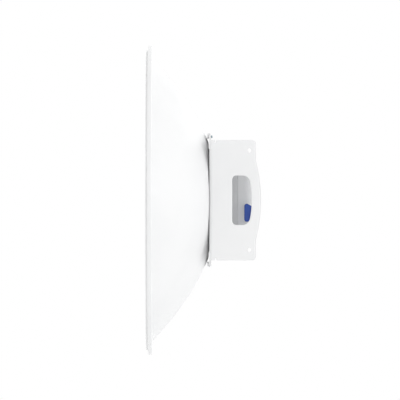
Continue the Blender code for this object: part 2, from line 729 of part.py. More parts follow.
def make_port_shell(shop):
    """Rear shell with the round socket cup, screw posts and the hinge lug of the lever."""
    shell = shop.place("port_shell", loft_mesh("port_shell", shell_rings()), "port_plastic")
    pocket = [
        rounded_square(PORT_PARTING_X - CUT_OVERRUN, SHELL_POCKET_HALF, PORT_CORNER - PORT_WALL),
        rounded_square(SHELL_POCKET_X, SHELL_POCKET_HALF, PORT_CORNER - PORT_WALL),
    ]
    shop.cut(shell, "port_shell_pocket", [pocket])
    places = four_corners(PORT_SCREW_OFFSET, PORT_SCREW_OFFSET)
    cup_front = SOCKET_FLOOR_X - SOCKET_WALL
    into_plate = SHELL_POCKET_X + CUT_OVERRUN
    cup = [circle(cup_front, SOCKET_RADIUS + SOCKET_WALL), circle(into_plate, SOCKET_RADIUS + SOCKET_WALL)]
    posts = bar_rings(PORT_PARTING_X + FIT_GAP, into_plate, PORT_BOSS_RADIUS, places, PORT_BOSS_SIDES)
    shop.join(shell, "socket_cup", [cup] + posts)
    shop.join(shell, "hinge_lug", [hinge_lug_rings()], LEVER_PIVOT)
    past_rear = PORT_REAR_X + CUT_OVERRUN
    centre = [(0.0, 0.0)]
    socket = bar_rings(SOCKET_FLOOR_X, past_rear, SOCKET_RADIUS, centre, ROUND_SIDES)
    throat = bar_rings(
        cup_front - CUT_OVERRUN, SOCKET_FLOOR_X + CUT_OVERRUN, TUBE_RADIUS + FIT_GAP, centre, ROUND_SIDES,
    )
    shop.cut(shell, "socket_bore", socket)
    shop.cut(shell, "throat_bore", throat)
    head_seat = PORT_REAR_X - PORT_SCREW_HEAD - 3 * FIT_GAP
    shanks = bar_rings(PORT_PARTING_X - CUT_OVERRUN, past_rear, PORT_SCREW_RADIUS + FIT_GAP, places)
    heads = bar_rings(head_seat, past_rear, PORT_SCREW_HEAD_RADIUS + 2 * FIT_GAP, places)
    shop.cut(shell, "port_shell_shanks", shanks)
    shop.cut(shell, "port_shell_heads", heads)
    shop.cut(shell, "hinge_lug_bore", [hinge_bore_rings()], LEVER_PIVOT)


def ear_outline(root_y):
    """Hinge ear in the yz plane: round about the pivot, with its root at root_y from it."""
    way = math.copysign(1.0, root_y)
    radius = HINGE_EAR_RADIUS
    round_end = [(-way * y, z) for y, z in arc((0.0, 0.0), radius, -90, 90)]
    return [(root_y, radius), (root_y, -radius)] + round_end


def hinge_lug_rings():
    """Lug of the shell, drawn about the pivot, from its rounded edge out past the pin."""
    outline = ear_outline(HINGE_LUG_ROOT_Y - LEVER_PIVOT.y)
    return prism_rings(outline, "yz", -HINGE_LUG_HALF_WIDTH, HINGE_LUG_HALF_WIDTH)


def hinge_bore_rings():
    """Bore for the pin, about the pivot."""
    reach = pin_half_length() + CUT_OVERRUN
    return [circle(x, PIN_RADIUS + FIT_GAP, SCREW_SIDES) for x in (-reach, reach)]


def pin_half_length():
    """Half the length of the hinge pin."""
    return HINGE_LUG_HALF_WIDTH + HINGE_SIDE_GAP + HINGE_CHEEK_WIDTH + PIN_OVERHANG


def make_socket_fittings(shop):
    """Gasket on the socket floor and the slotted locking ring at its mouth."""
    front = SOCKET_FLOOR_X + FIT_GAP
    rear = front + GASKET_HEIGHT
    inner, outer = GASKET_RADII
    middle = (inner + outer) / 2
    shoulder = rear - GASKET_CROWN
    section = [(front, inner), (shoulder, inner), (rear, middle), (shoulder, outer), (front, outer)]
    rings = [circle(x, radius) for x, radius in section]
    shop.place("port_gasket", loft_mesh("port_gasket", rings, closed=True), "black_rubber")

    outer = SOCKET_RADIUS - FIT_GAP
    inner = outer - LOCK_RING_WALL
    lip_front = PORT_REAR_X - LOCK_LIP_THICK
    section = [(LOCK_RING_FRONT_X, inner), (LOCK_RING_FRONT_X, outer), (PORT_REAR_X, outer),
               (PORT_REAR_X, LOCK_LIP_RADIUS), (lip_front, LOCK_LIP_RADIUS), (lip_front, inner)]
    rings = [circle(x, radius) for x, radius in section]
    ring = shop.place("lock_ring", loft_mesh("lock_ring", rings, closed=True), "bare_aluminium")
    slots = []
    for number in range(LOCK_SLOTS):
        turn = 2 * math.pi * number / LOCK_SLOTS + math.pi / 2
        slots.append(slot_rings(turn, lip_front - CUT_OVERRUN, PORT_REAR_X + CUT_OVERRUN, inner))
    shop.cut(ring, "lock_ring_slots", slots)


def slot_rings(turn, start, end, reach):
    """Radial slot through the locking lip at one angle."""
    along = Vector((0.0, math.cos(turn), math.sin(turn)))
    across = Vector((0.0, -math.sin(turn), math.cos(turn)))
    corners = ((LOCK_SLOT_INNER, -1), (reach, -1), (reach, 1), (LOCK_SLOT_INNER, 1))
    flat = [along * distance + across * side * LOCK_SLOT_HALF_WIDTH for distance, side in corners]
    return [[point + Vector((x, 0.0, 0.0)) for point in flat] for x in (start, end)]


# Lock lever


def lever_outline():
    """Face of the lever about its pivot, as (x, z): slanted top, tapered rear, round tip."""
    front = LEVER_FRONT_X - LEVER_PIVOT.x
    rear = LEVER_REAR_X - LEVER_PIVOT.x
    top = LEVER_TOP_Z - LEVER_PIVOT.z
    slant = LEVER_SLANT_Z - LEVER_PIVOT.z
    tip = LEVER_BOTTOM_Z - LEVER_PIVOT.z
    tip_rear = LEVER_BOTTOM_REAR_X - LEVER_PIVOT.x
    side_turn = math.atan2(slant - tip, rear - tip_rear)
    tangent_length = LEVER_TIP_REAR_ROUND / math.tan((math.pi - side_turn) / 2)
    rear_centre = (tip_rear - tangent_length, tip + LEVER_TIP_REAR_ROUND)
    front_centre = (front + LEVER_TIP_FRONT_ROUND, tip + LEVER_TIP_FRONT_ROUND)
    outline = arc((front + LEVER_TOP_ROUND, top - LEVER_TOP_ROUND), LEVER_TOP_ROUND, 180, LEVER_TOP_END_DEG)
    outline.append((rear, slant))
    outline.extend(arc(rear_centre, LEVER_TIP_REAR_ROUND, math.degrees(side_turn) - 90, -90, LEVER_TIP_STEPS))
    outline.extend(arc(front_centre, LEVER_TIP_FRONT_ROUND, -90, -180, LEVER_TIP_STEPS))
    return outline


def make_lock_lever(shop):
    """Sprung lever: a shaped plate with two cheeks on the hinge pin."""
    outer = LEVER_PLATE_Y[0] - LEVER_PIVOT.y
    inner = LEVER_PLATE_Y[1] - LEVER_PIVOT.y
    bm = bmesh.new()
    loft_into(bm, prism_rings(lever_outline(), "xz", inner, outer))
    rim = [e for e in bm.edges if all(abs(v.co.y - outer) < FIT_GAP for v in e.verts)]
    bmesh.ops.bevel(bm, geom=rim, offset=LEVER_EDGE_ROUND, segments=LEVER_EDGE_STEPS, affect="EDGES")
    lever = shop.place("lock_lever", finish_mesh(bm, "lock_lever"), "lever_blue", LEVER_PIVOT)
    near = HINGE_LUG_HALF_WIDTH + HINGE_SIDE_GAP
    far = near + HINGE_CHEEK_WIDTH
    root = inner - LEVER_EDGE_ROUND
    cheeks = [
        prism_rings(ear_outline(root), "yz", near, far),
        prism_rings(ear_outline(root), "yz", -far, -near),
    ]
    shop.join(lever, "lever_cheeks", cheeks, LEVER_PIVOT)
    shop.cut(lever, "lever_bore", [hinge_bore_rings()], LEVER_PIVOT)

    reach = pin_half_length()
    rings = [circle(x, PIN_RADIUS, SCREW_SIDES) for x in (-reach, reach)]
    shop.place("lever_pin", loft_mesh("lever_pin", rings), "steel", LEVER_PIVOT)


def main():
    clear_scene()
    shop = Workshop()
    make_reflector(shop)
    make_edge_ring(shop)
    make_feed_tube(shop)
    make_feed_head(shop)
    make_bracket(shop)
    make_bracket_bolts(shop)
    make_small_screws(shop)
    make_port_base(shop)
    make_port_shell(shop)
    make_socket_fittings(shop)
    make_lock_lever(shop)


if __name__ == "__main__":
    main()
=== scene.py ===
"""Looks of a point-to-point parabolic dish antenna, laid out as a Blender add-on and run as a script.

Lengths are metres. Pieces are drawn in antenna coordinates: x runs backwards along the dish
axis from the front face of the bracket plate, y and z run across it, +z up. AXIS is where
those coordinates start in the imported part's frame.
"""

import json
import math

import bmesh
import bpy
from bpy.props import FloatProperty, FloatVectorProperty, IntProperty, PointerProperty
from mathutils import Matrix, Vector


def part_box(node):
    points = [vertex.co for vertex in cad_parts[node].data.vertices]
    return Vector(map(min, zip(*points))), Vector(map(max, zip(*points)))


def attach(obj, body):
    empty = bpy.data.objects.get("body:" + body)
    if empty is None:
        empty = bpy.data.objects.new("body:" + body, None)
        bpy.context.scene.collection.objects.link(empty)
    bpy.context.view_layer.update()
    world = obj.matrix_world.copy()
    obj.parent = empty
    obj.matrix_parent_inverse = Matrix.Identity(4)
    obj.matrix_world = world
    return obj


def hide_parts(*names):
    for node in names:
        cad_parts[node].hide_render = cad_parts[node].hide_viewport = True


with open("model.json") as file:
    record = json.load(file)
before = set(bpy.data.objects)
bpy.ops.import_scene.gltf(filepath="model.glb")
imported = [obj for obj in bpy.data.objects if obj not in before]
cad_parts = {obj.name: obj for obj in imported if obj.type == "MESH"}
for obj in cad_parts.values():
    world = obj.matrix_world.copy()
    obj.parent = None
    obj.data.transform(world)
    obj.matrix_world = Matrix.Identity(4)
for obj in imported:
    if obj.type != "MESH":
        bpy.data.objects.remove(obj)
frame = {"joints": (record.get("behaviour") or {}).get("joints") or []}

bl_info = {
    "name": "Parabolic dish antenna",
    "version": (1, 0, 0),
    "blender": (4, 5, 0),
    "location": "3D View > Sidebar > Antenna",
    "description": "Builds the finished pieces of a dish antenna around its packed solids",
    "category": "Object",
}

MM = 0.001
FIT_GAP = 0.3 * MM
OVERRUN = 2 * MM
SLIVER = 0.01 * MM

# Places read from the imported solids, in their own frame
BRACKET_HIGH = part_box("bracket")[1]
HALF_WIDTH = BRACKET_HIGH.y / 2
BRACKET_SHEET = 3 * MM
PLATE_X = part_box("bracket_nut_1")[0].x - FIT_GAP - BRACKET_SHEET
AXIS = Vector((PLATE_X, HALF_WIDTH, 0.0))


def low(node):
    """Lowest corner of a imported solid, in antenna coordinates."""
    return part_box(node)[0] - AXIS


def high(node):
    """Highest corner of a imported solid, in antenna coordinates."""
    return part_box(node)[1] - AXIS


def ends(node):
    """Front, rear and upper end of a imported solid, in antenna coordinates."""
    return low(node).x, high(node).x, high(node).z


def middle(node):
    """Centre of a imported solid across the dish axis, in antenna coordinates."""
    centre = (low(node) + high(node)) / 2
    return (centre.y, centre.z)


# Small roundings and bevels of turned and moulded edges
FINE_ROUND = 0.3 * MM
EDGE_ROUND = 0.4 * MM
BORE_ROUND = 0.5 * MM
BROAD_ROUND = 0.6 * MM

# Reflector
FOCAL_LENGTH = 140.9 * MM
VERTEX_X = 18.9 * MM
BOWL_RADIUS = 268 * MM
DISH_SHEET = 1.5 * MM
CENTRE_HOLE = 28 * MM
PAD_RADIUS = 96 * MM
PAD_STEP_WIDTH = 3 * MM
PAD_ROUND = 1.5 * MM
SHOULDER_X = -2.1 * MM
CENTRE_BLEND = 12 * MM
FLANGE_BLEND = 4 * MM
LIP_BEND = 3 * MM
BOWL_ROWS = 40

# Edge ring
RING_INNER = 276 * MM
RING_ROUND = 1.6 * MM
RING_GROOVE = 0.8 * MM

# Feed
TUBE_RADIUS = 22 * MM
TUBE_BORE = 20 * MM
TUBE_FILLET = 2.5 * MM
FLANGE_THICK = 4 * MM
FLANGE_ROUND = 1.0 * MM
LENS_PLUG = 25 * MM
LENS_PLUG_ROUND = 2.0 * MM
LENS_TIP = 10 * MM
LENS_TIP_ROUND = 1.5 * MM
LENS_RIM = 2.5 * MM
LENS_RIM_ROUND = 0.8 * MM
LENS_GROOVES = (8 * MM, 15 * MM, 22 * MM)
GROOVE_WIDTH = 2.4 * MM
GROOVE_DEPTH = 1.4 * MM
SUBREFLECTOR_ROUND = 0.7 * MM
CAP_RIM = 4.4 * MM
CAP_ROUND = 1.8 * MM
CAP_RECESS = 0.7 * MM
CAP_BOSS = 7 * MM

# Folded bracket
BEND_RADIUS = 6.5 * MM
WEB_TOP = 114.5 * MM
WEB_DEPTH = 87.2 * MM
BULGE_HALF_HEIGHT = 76 * MM
BULGE_BLEND = 30 * MM
WEB_CORNER = 7.6 * MM
TAB_HALF_WIDTH = 42 * MM
TAB_ROOT_ROUND = 2.5 * MM
TAB_TIP_ROUND = 6 * MM
HEM_INNER = 0.875 * MM
HEM_RETURN = 6.6 * MM
NOTCH_X = (9 * MM, 12.8 * MM)
NOTCH_DEPTH = 4.75 * MM
NOTCH_MOUTH_ROUND = 1.5 * MM
WINDOW_X = (43.5 * MM, 80.4 * MM)
WINDOW_REAR_RADIUS = 197.4 * MM
WINDOW_HALF_HEIGHT = 46.8 * MM
WINDOW_FRONT_CORNER = 7.6 * MM
WINDOW_REAR_CORNER = 15 * MM
WEB_HOLE = (75.4 * MM, 94.5 * MM)
WEB_HOLE_RADIUS = 4.25 * MM
HOLE_ROUND = 0.4 * MM
INNER_ROUND = 0.5 * MM
PLATE_HALF = HALF_WIDTH - BEND_RADIUS
BEND_NEUTRAL = BEND_RADIUS - BRACKET_SHEET / 2
BEND_LENGTH = BEND_NEUTRAL * math.pi / 2
FOLD_HEIGHT = BRACKET_HIGH.z - HEM_INNER - BRACKET_SHEET
HEM_NEUTRAL = HEM_INNER + BRACKET_SHEET / 2
HEM_LENGTH = HEM_NEUTRAL * math.pi

# Fasteners
NUMBERS = range(1, 5)
BOLT_RADIUS = 4 * MM
SHANKS = {
    "bracket_bolt": BOLT_RADIUS,
    "feed_screw": 2 * MM,
    "port_screw": 2.5 * MM,
    "ground_screw": 1.5 * MM,
}
HEX_TURN = math.pi / 3
HEX_CORNER = 7.4 * MM
HEX_FLAT = HEX_CORNER * math.cos(HEX_TURN / 2)
HEAD_MIDDLE = 0.55 * HEX_FLAT
HEAD_TOP = 0.95 * HEX_FLAT
HEAD_CHAMFER = (0.9 * MM, 1.3 * MM)
WASHER_FACE = 0.93 * HEX_FLAT
WASHER_SEAT = 0.92 * HEX_FLAT
WASHER_THICK = 0.5 * MM
NUT_FLANGE = 8.6 * MM
NUT_FLANGE_THICK = 1.3 * MM
NUT_FLANGE_LIP = 0.1 * MM
NUT_CONE = 0.5 * MM
NUT_CHAMFERS = (1.0 * MM, 0.6 * MM)
NUT_CHAMFER_REACH = 0.5 * MM
THREAD_PITCH = 1.25 * MM
THREAD_DEPTH = 0.55 * MM
THREAD_ROWS_A_TURN = 5
THREAD_END = 0.9 * MM
THREAD_TIP = 0.5 * MM
PORT_HEAD = 3.4 * MM

# Socket screws: their domed head as (share of its height, share of its radius), and their socket
CROWN = (
    (0.0, 0.96), (0.08, 1.0), (0.42, 1.0), (0.62, 0.97),
    (0.8, 0.89), (0.92, 0.78), (1.0, 0.62), (1.0, 0.56),
)
SHANK_CHAMFER = 0.3
SCREW_SOCKET = 0.5
SCREW_SOCKET_DEPTHS = (0.04, 0.6)
SCREW_SOCKET_POINT = (0.72, 0.4)

# Port
PORT_CORNER = 20 * MM
PORT_WALL = 4 * MM
PORT_FRONT_HALF = 66.5 * MM
PORT_REAR_HALF = 68.8 * MM
PORT_REAR_ROUND = 13 * MM
TUB_ROUND = 1.2 * MM
TUB_ROUND_MIDDLE = 0.35 * MM
TUB_DRAFTS = (0.08 * MM, 0.04 * MM)
COVER_DRAFT = 0.02 * MM
PARTING_GROOVE = 0.25 * MM
PARTING_MIDDLE = (0.15 * MM, 0.2 * MM)
SOCKET_RADIUS = 50 * MM
SOCKET_WALL = 3.5 * MM
SOCKET_FLOOR_X = 36.5 * MM
POCKET_X = 73 * MM
POCKET_HALF = 65 * MM
MOUTH_ROUND = 1.2 * MM
GASKET_WIDTH = 7 * MM
GASKET_CROWN = 1.2 * MM
RING_WALL = 3.2 * MM
LOCK_LIP_RADIUS = 42.5 * MM
LOCK_LIP_THICK = 4 * MM
LOCK_LIP_ROUND = 1.0 * MM
LOCK_SLOTS = 3
LOCK_SLOT_HALF_WIDTH = 12 * MM
LOCK_SLOT_INNER = 21 * MM

# Release lever, about its hinge
PIVOT = Vector(frame["joints"][0]["pos_m"]) - AXIS
HINGE = AXIS + PIVOT
LEVER_SLANT_Z = -11.4 * MM
LEVER_BOTTOM_REAR = 77.3 * MM
LEVER_TIP_FRONT_ROUND = 4.3 * MM
LEVER_TIP_REAR_ROUND = 6 * MM
LEVER_TOP_ROUND = 4.5 * MM
LEVER_TOP_SHARES = (1.3, 0.25)
LEVER_CORNER_ROUND = 1.2 * MM
LEVER_THICK = 3.7 * MM
EAR_RADIUS = 2.9 * MM
EAR_SIDE_GAP = 0.5 * MM
EAR_WIDTH = 2.5 * MM
EAR_ROUND = 0.5 * MM
EAR_OVERLAP = 1.1 * MM
LUG_HALF_WIDTH = 2.5 * MM
LUG_ROOT_Y = -65.3 * MM
PIN_RADIUS = 1.5 * MM

# Stage
FRAME_WIDTH = 0.76
IMAGE_CENTRE = Vector((-42.56 * MM, 0.0, 0.38 * MM))
CAMERA_AZIMUTH = math.radians(0.42)
CAMERA_DISTANCE = 3.0
FLOOR_Z = -0.40
FLOOR_RADIUS = 7.0
SHADE_SPREAD = (-0.85, -0.55)
SOFTBOX_SIZE = 1.2
SOFTBOX_PLACE = Vector((1.9, -0.6, 0.3))

# How finely curves are cut
SMOOTH_ANGLE = math.radians(32)
MITRE_LIMIT = 0.5
RIM_STEPS = 4
BLEND_STEPS = 4
CORNER_STEPS = 5
WINDOW_STEPS = 10
BULGE_STEPS = 12
BEND_STEPS = 12
LEVER_STEPS = 12
EAR_STEPS = 16
ROUND_SIDES = 96
SCREW_SIDES = 48
DRILL_SIDES = 50
BAND_CORNER_STEPS = 10
BAND_SIDE_STEPS = 8


# Sizes and colours that a user may change


def length_property(name, description, default, least, most):
    """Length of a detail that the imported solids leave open, within what they allow."""
    return FloatProperty(
        name=name, description=description, default=default, min=least, max=most, unit="LENGTH",
    )


def colour_property(name, description, default):
    """Colour of one finish, as a property with a colour picker."""
    return FloatVectorProperty(
        name=name, description=description, default=default, size=3, min=0.0, max=1.0, subtype="COLOR",
    )


def light_property(name, description, default, most=1.0):
    """Strength or share of a light."""
    return FloatProperty(name=name, description=description, default=default, min=0.0, max=most)


class AntennaShape(bpy.types.PropertyGroup):
    """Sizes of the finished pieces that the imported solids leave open."""

    dish_sides: IntProperty(
        name="Dish segments",
        description="Number of flat strips round the turned dish and its edge ring",
        default=256, min=64, max=512,
    )
    edge_round: length_property(
        "Sheet edge rounding", "Rounding of the bracket's outer edges under their coat",
        1.3 * MM, 0.3 * MM, 1.4 * MM,
    )
    window_round: length_property(
        "Window edge rounding", "Rounding of the grip windows on their outer side",
        2.3 * MM, 0.3 * MM, 2.4 * MM,
    )
    lever_round: length_property(
        "Lever edge rounding", "Rounding of the release lever's outer face",
        2.2 * MM, 0.5 * MM, 3.0 * MM,
    )


class AntennaColours(bpy.types.PropertyGroup):
    """Colours of the finishes, in linear values."""

    white_coat: colour_property("Coat", "Powder coat of the dish and the bracket", (0.867, 0.871, 0.874))
    edge_grey: colour_property("Edge ring", "Ring at the mouth of the dish", (0.86, 0.863, 0.866))
    bare_aluminium: colour_property("Aluminium", "Turned feed and lock parts", (0.80, 0.80, 0.81))
    lens_plastic: colour_property("Lens", "Dielectric cone of the feed", (0.82, 0.81, 0.77))
    cap_plastic: colour_property("Feed cap", "Cover over the subreflector", (0.79, 0.80, 0.81))
    # Port grey is partly painted shade: set darker than the housing's own light plastic, standing in for the
    # shade that falls on it inside the bracket
    port_plastic: colour_property("Port", "Moulded port housing", (0.595, 0.602, 0.612))
    black_rubber: colour_property("Gasket", "Seal inside the socket", (0.025, 0.025, 0.026))
    lever_blue: colour_property("Lever", "Release lever", (0.010, 0.050, 0.285))
    steel: colour_property("Steel", "Zinc-plated bolts, nuts, screws and pin", (0.66, 0.66, 0.65))
    ground_zinc: colour_property(
        "Earthing screw", "Blue-passivated screw on the upper tab", (0.20, 0.30, 0.35),
    )


class AntennaStage(bpy.types.PropertyGroup):
    """Light and floor around the antenna."""

    floor_colour: colour_property("Floor", "Plain pale floor, as the camera sees it", (0.76, 0.76, 0.765))
    floor_bounce: colour_property(
        "Floor bounce", "Floor, as its light falls back on the antenna", (0.97, 0.97, 0.97),
    )
    sky_strength: light_property("Surrounding light", "Strength of the white light from all sides", 1.42, 4.0)
    sky_lean: light_property(
        "Light from behind", "How much brighter the surrounding light is behind the dish than before it",
        0.02,
    )
    camera_shade: light_property(
        "Shade round the camera", "Share of the surrounding light that is kept back around the camera", 0.24,
    )
    overhead_shade: light_property(
        "Shade from above", "Share of the surrounding light that is kept back straight above", 0.38,
    )
    key_power: FloatProperty(
        name="Main light",
        description="Power of the large soft light behind the dish",
        default=2.0, min=0.0, max=400.0, unit="POWER",
    )


# Outlines in a plane


def spaced(span, steps):
    """Values from zero to a span in equal steps, ends included."""
    return [span * step / steps for step in range(steps + 1)]


def arc(centre, radius, start_deg, end_deg, steps=CORNER_STEPS):
    """Points along an arc, ends included."""
    points = []
    for part in spaced(end_deg - start_deg, steps):
        turn = math.radians(start_deg + part)
        points.append(Vector((centre[0] + radius * math.cos(turn), centre[1] + radius * math.sin(turn))))
    return points


def fillet(corner, before, after, radius, steps):
    """Points of the arc that rounds a corner between the directions to its neighbours."""
    half = before.angle(after) / 2
    centre = corner + (before + after).normalized() * radius / math.sin(half)
    first = (corner + before * radius / math.tan(half) - centre).normalized()
    last = (corner + after * radius / math.tan(half) - centre).normalized()
    return [centre + first.slerp(last, share) * radius for share in spaced(1, steps)]


def rounded(corners, steps=CORNER_STEPS):
    """Outline through corners given as (a, b, radius), each rounded to its radius."""
    outline = []
    for i, (a, b, radius) in enumerate(corners):
        here = Vector((a, b))
        if not radius:
            outline.append(here)
            continue
        before = Vector(corners[i - 1][:2]) - here
        after = Vector(corners[(i + 1) % len(corners)][:2]) - here
        outline.extend(fillet(here, before.normalized(), after.normalized(), radius, steps))
    return outline


def left_normals(points, closed):
    """Direction to the left at each point of a line, as long as the mitre there needs."""
    count = len(points)
    normals = []
    for i, here in enumerate(points):
        before = points[i - 1] if closed or i else None
        after = points[(i + 1) % count] if closed or i < count - 1 else None
        ways = [(b - a).normalized() for a, b in ((before, here), (here, after)) if a and b]
        sides = [Vector((-way.y, way.x)) for way in ways]
        mean = sum(sides, Vector((0.0, 0.0))).normalized()
        normals.append(mean / max(mean.dot(sides[0]), MITRE_LIMIT))
    return normals


def shifted(points, distance, closed=True):
    """The line moved to its left."""
    if not distance:
        return list(points)
    return [point + side * distance for point, side in zip(points, left_normals(points, closed))]


def mirrored_across(points, axis):
    """The line mirrored in one coordinate and turned round, so that it carries on from its end."""
    signs = (-1, 1) if axis == 0 else (1, -1)
    return [Vector((point[0] * signs[0], point[1] * signs[1])) for point in reversed(points)]


def round_hole(centre, radius):
    """Circle with the material on its left."""
    return arc(centre, radius, 360, 0, SCREW_SIDES)[:-1]


# Rings across the dish axis


def all_round(sides):
    """Angles of a full turn in equal steps."""
    return spaced(2 * math.pi, sides)[:-1]


def ring_point(x, radius, turn, centre):
    """Point of a ring about a centre."""
    return Vector((x, centre[0] + radius * math.cos(turn), centre[1] + radius * math.sin(turn)))


def circle(x, radius, sides=ROUND_SIDES, centre=(0.0, 0.0)):
    """Round ring about a centre."""
    return [ring_point(x, radius, turn, centre) for turn in all_round(sides)]


def hexagon(x, corner, limit, centre):
    """Hexagonal ring that a cone of radius limit cuts back at its corners."""
    flat = corner * math.cos(HEX_TURN / 2)
    ring = []
    for turn in all_round(SCREW_SIDES):
        reach = flat / math.cos(turn % HEX_TURN - HEX_TURN / 2)
        ring.append(ring_point(x, min(reach, limit), turn, centre))
    return ring


def band(x, half, corner):
    """Rounded square ring with points along its sides too."""
    reach = half - corner
    ring = []
    for quarter, (side_y, side_z) in enumerate(((1, 1), (-1, 1), (-1, -1), (1, -1))):
        for share in spaced(1, BAND_CORNER_STEPS):
            turn = math.pi / 2 * (quarter + share)
            ring.append(ring_point(x, corner, turn, (side_y * reach, side_z * reach)))
        turn = math.pi / 2 * quarter
        way = Vector((0.0, -math.cos(turn), -math.sin(turn)))
        corner_end = ring[-1]
        for step in range(1, BAND_SIDE_STEPS):
            ring.append(corner_end + way * 2 * reach * step / BAND_SIDE_STEPS)
    return ring


def housing(x, half, inset=0.0):
    """Rounded square ring of the port, drawn in from its outside by an inset."""
    return band(x, half - inset, PORT_CORNER - inset)


def circle_in_band(x, radius):
    """Round ring whose points face those of a rounded square ring."""
    return [Vector((x, 0.0, 0.0)) + Vector((0.0, p.y, p.z)).normalized() * radius
            for p in housing(x, PORT_CORNER + 2 * SOCKET_RADIUS)]


# Meshes


def skin(bm, rows):
    """Join each row of points to the next with faces all round."""
    for row, following in zip(rows, rows[1:]):
        for i in range(len(row)):
            j = (i + 1) % len(row)
            bm.faces.new((row[i], row[j], following[j], following[i]))


def loft_into(bm, rings, closed=False):
    """Skin a row of equal rings, capped at both ends unless the row closes on itself."""
    rows = [[bm.verts.new(point) for point in ring] for ring in rings]
    if closed:
        skin(bm, rows + rows[:1])
        return
    skin(bm, rows)
    bm.faces.new(rows[0])
    bm.faces.new(rows[-1])


def placed(name, data, location):
    """Object of some data, put into the scene."""
    item = bpy.data.objects.new(name, data)
    item.location = location
    bpy.context.collection.objects.link(item)
    return item


def smooth(mesh):
    """Shade a mesh smooth, apart from its sharp edges."""
    mesh.shade_smooth()
    mesh.set_sharp_from_angle(angle=SMOOTH_ANGLE)


def new_piece(name, bm, slot=None, location=AXIS):
    """Object of a bmesh: a plain body, or with a slot a finished one whose flat faces stay flat."""
    bmesh.ops.recalc_face_normals(bm, faces=bm.faces)
    mesh = bpy.data.meshes.new(name)
    bm.to_mesh(mesh)
    bm.free()
    smooth(mesh)
    piece = placed(name, mesh, location)
    if slot:
        mesh.materials.append(finish(slot))
        weighted = piece.modifiers.new("flat faces", "WEIGHTED_NORMAL")
        weighted.keep_sharp = True
    return piece


def lofted(name, rings, slot=None, closed=False, location=AXIS):
    """One lofted piece."""
    bm = bmesh.new()
    loft_into(bm, rings, closed)
    return new_piece(name, bm, slot, location)


def turned(name, section, slot, closed=True, sides=ROUND_SIDES):
    """Piece turned about the dish axis from its section, as (x, radius)."""
    return lofted(name, [circle(x, radius, sides) for x, radius in section], slot, closed)


def combine(piece, tool, operation):
    """Cut a tool body from a piece or join it on, and remove the tool."""
    boolean = piece.modifiers.new("tool", "BOOLEAN")
    boolean.operation = operation
    boolean.solver = "EXACT"
    boolean.object = tool
    weighted = [item for item in piece.modifiers if item.type == "WEIGHTED_NORMAL"]
    for item in weighted:
        item.show_viewport = False
    result = bpy.data.meshes.new_from_object(piece.evaluated_get(bpy.context.evaluated_depsgraph_get()))
    for item in weighted:
        item.show_viewport = True
    piece.modifiers.remove(boolean)
    before = piece.data
    piece.data = result
    bpy.data.meshes.remove(before)
    result.name = piece.name
    smooth(result)
    bpy.data.objects.remove(tool, do_unlink=True)


def drill(piece, start, end, stem, radius=None):
    """Drill along x for four like fasteners, in circles with no corner on a 45 degree line of the mesh."""
    radius = radius or SHANKS[stem] + FIT_GAP
    bm = bmesh.new()
    for centre in fastener_places(stem):
        loft_into(bm, [circle(x, radius, DRILL_SIDES, centre) for x in (start, end)])
    combine(piece, new_piece("drills", bm), "DIFFERENCE")


def plate_mesh(contours, thickness):
    """Flat plate with rounded rims: its points are (a, b, depth below the outer face).

    Each contour is (outline, rounding of the outer edge, rounding of the inner edge), with the
    material on its left.
    """
    bm = bmesh.new()
    quarter = spaced(math.pi / 2, RIM_STEPS)
    face_loops = ([], [])
    for outline, outer_round, inner_round in contours:
        rows = []
        for turn in quarter:
            depth = outer_round * (1 - math.cos(turn))
            rows.append((shifted(outline, outer_round * (1 - math.sin(turn))), depth))
        for turn in quarter:
            depth = thickness - inner_round * (1 - math.sin(turn))
            rows.append((shifted(outline, inner_round * (1 - math.cos(turn))), depth))
        verts = [[bm.verts.new((*point, depth)) for point in points] for points, depth in rows]
        skin(bm, verts)
        for loops, row in zip(face_loops, (verts[0], verts[-1])):
            loops.extend(bm.edges.get(pair) for pair in zip(row, row[1:] + row[:1]))
    for loops in face_loops:
        bmesh.ops.triangle_fill(bm, edges=loops, use_beauty=True, normal=(0.0, 0.0, 1.0))
    return bm


def reshape(bm, rule):
    """Move every point of a mesh by a rule."""
    for vert in bm.verts:
        vert.co = rule(vert.co)


def dress(piece, *nodes, body="antenna"):
    """Let a piece ride on its body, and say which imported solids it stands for."""
    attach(piece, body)
    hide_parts(*nodes)


# Effects shared by the materials


NOISE_DETAIL = 3.0
NOISE_MIDDLE = 0.5
DRIFT_RANGE = (0.35, 0.65)
GRAIN_DETAIL = 2.0
GLOSS_PATCH_SCALE = 0.03
LINE_DETAIL = 4.0
LINE_RANGE = (0.3, 0.7)
WORN_EDGE_RANGE = (0.53, 0.62)
WORN_PATCH_RANGE = (0.42, 0.62)
WORN_PATCH_SCALE = 160.0
WORN_GLOSS = -0.08
DUST_SLOPE_RANGE = (0.2, 0.95)
DUST_PATCH_RANGE = (0.4, 0.7)
DUST_PATCH_SCALE = 45.0
DUST_DETAIL = 5.0
DUST_GLOSS = 0.3

# Sockets of a Mix node: its factor, its two values and its result
MIX_SOCKETS = {"RGBA": (0, 6, 7, 2), "FLOAT": (0, 2, 3, 0)}
COLOUR_SOCKETS = ("Colour", "Tint")


def feed(tree, socket, value):
    """Give an input its value, or link it to an output."""
    if isinstance(value, bpy.types.NodeSocket):
        tree.links.new(value, socket)
    else:
        socket.default_value = value


def add(tree, kind, values=None, **settings):
    """Add a node, set it up, and give its inputs their values or links."""
    node = tree.nodes.new(kind)
    for name, value in settings.items():
        setattr(node, name, value)
    for socket, value in (values or {}).items():
        feed(tree, node.inputs[socket], value)
    return node


def mixed(tree, factor, first, second, kind="RGBA"):
    """Mix two colours, or two numbers where kind says so, and return the result's socket."""
    *inputs, result = MIX_SOCKETS[kind]
    values = dict(zip(inputs, (factor, first, second)))
    return add(tree, "ShaderNodeMix", values, data_type=kind).outputs[result]


def calculated(tree, operation, *values):
    """Do sums on values and return the result's socket."""
    return add(tree, "ShaderNodeMath", dict(enumerate(values)), operation=operation).outputs[0]


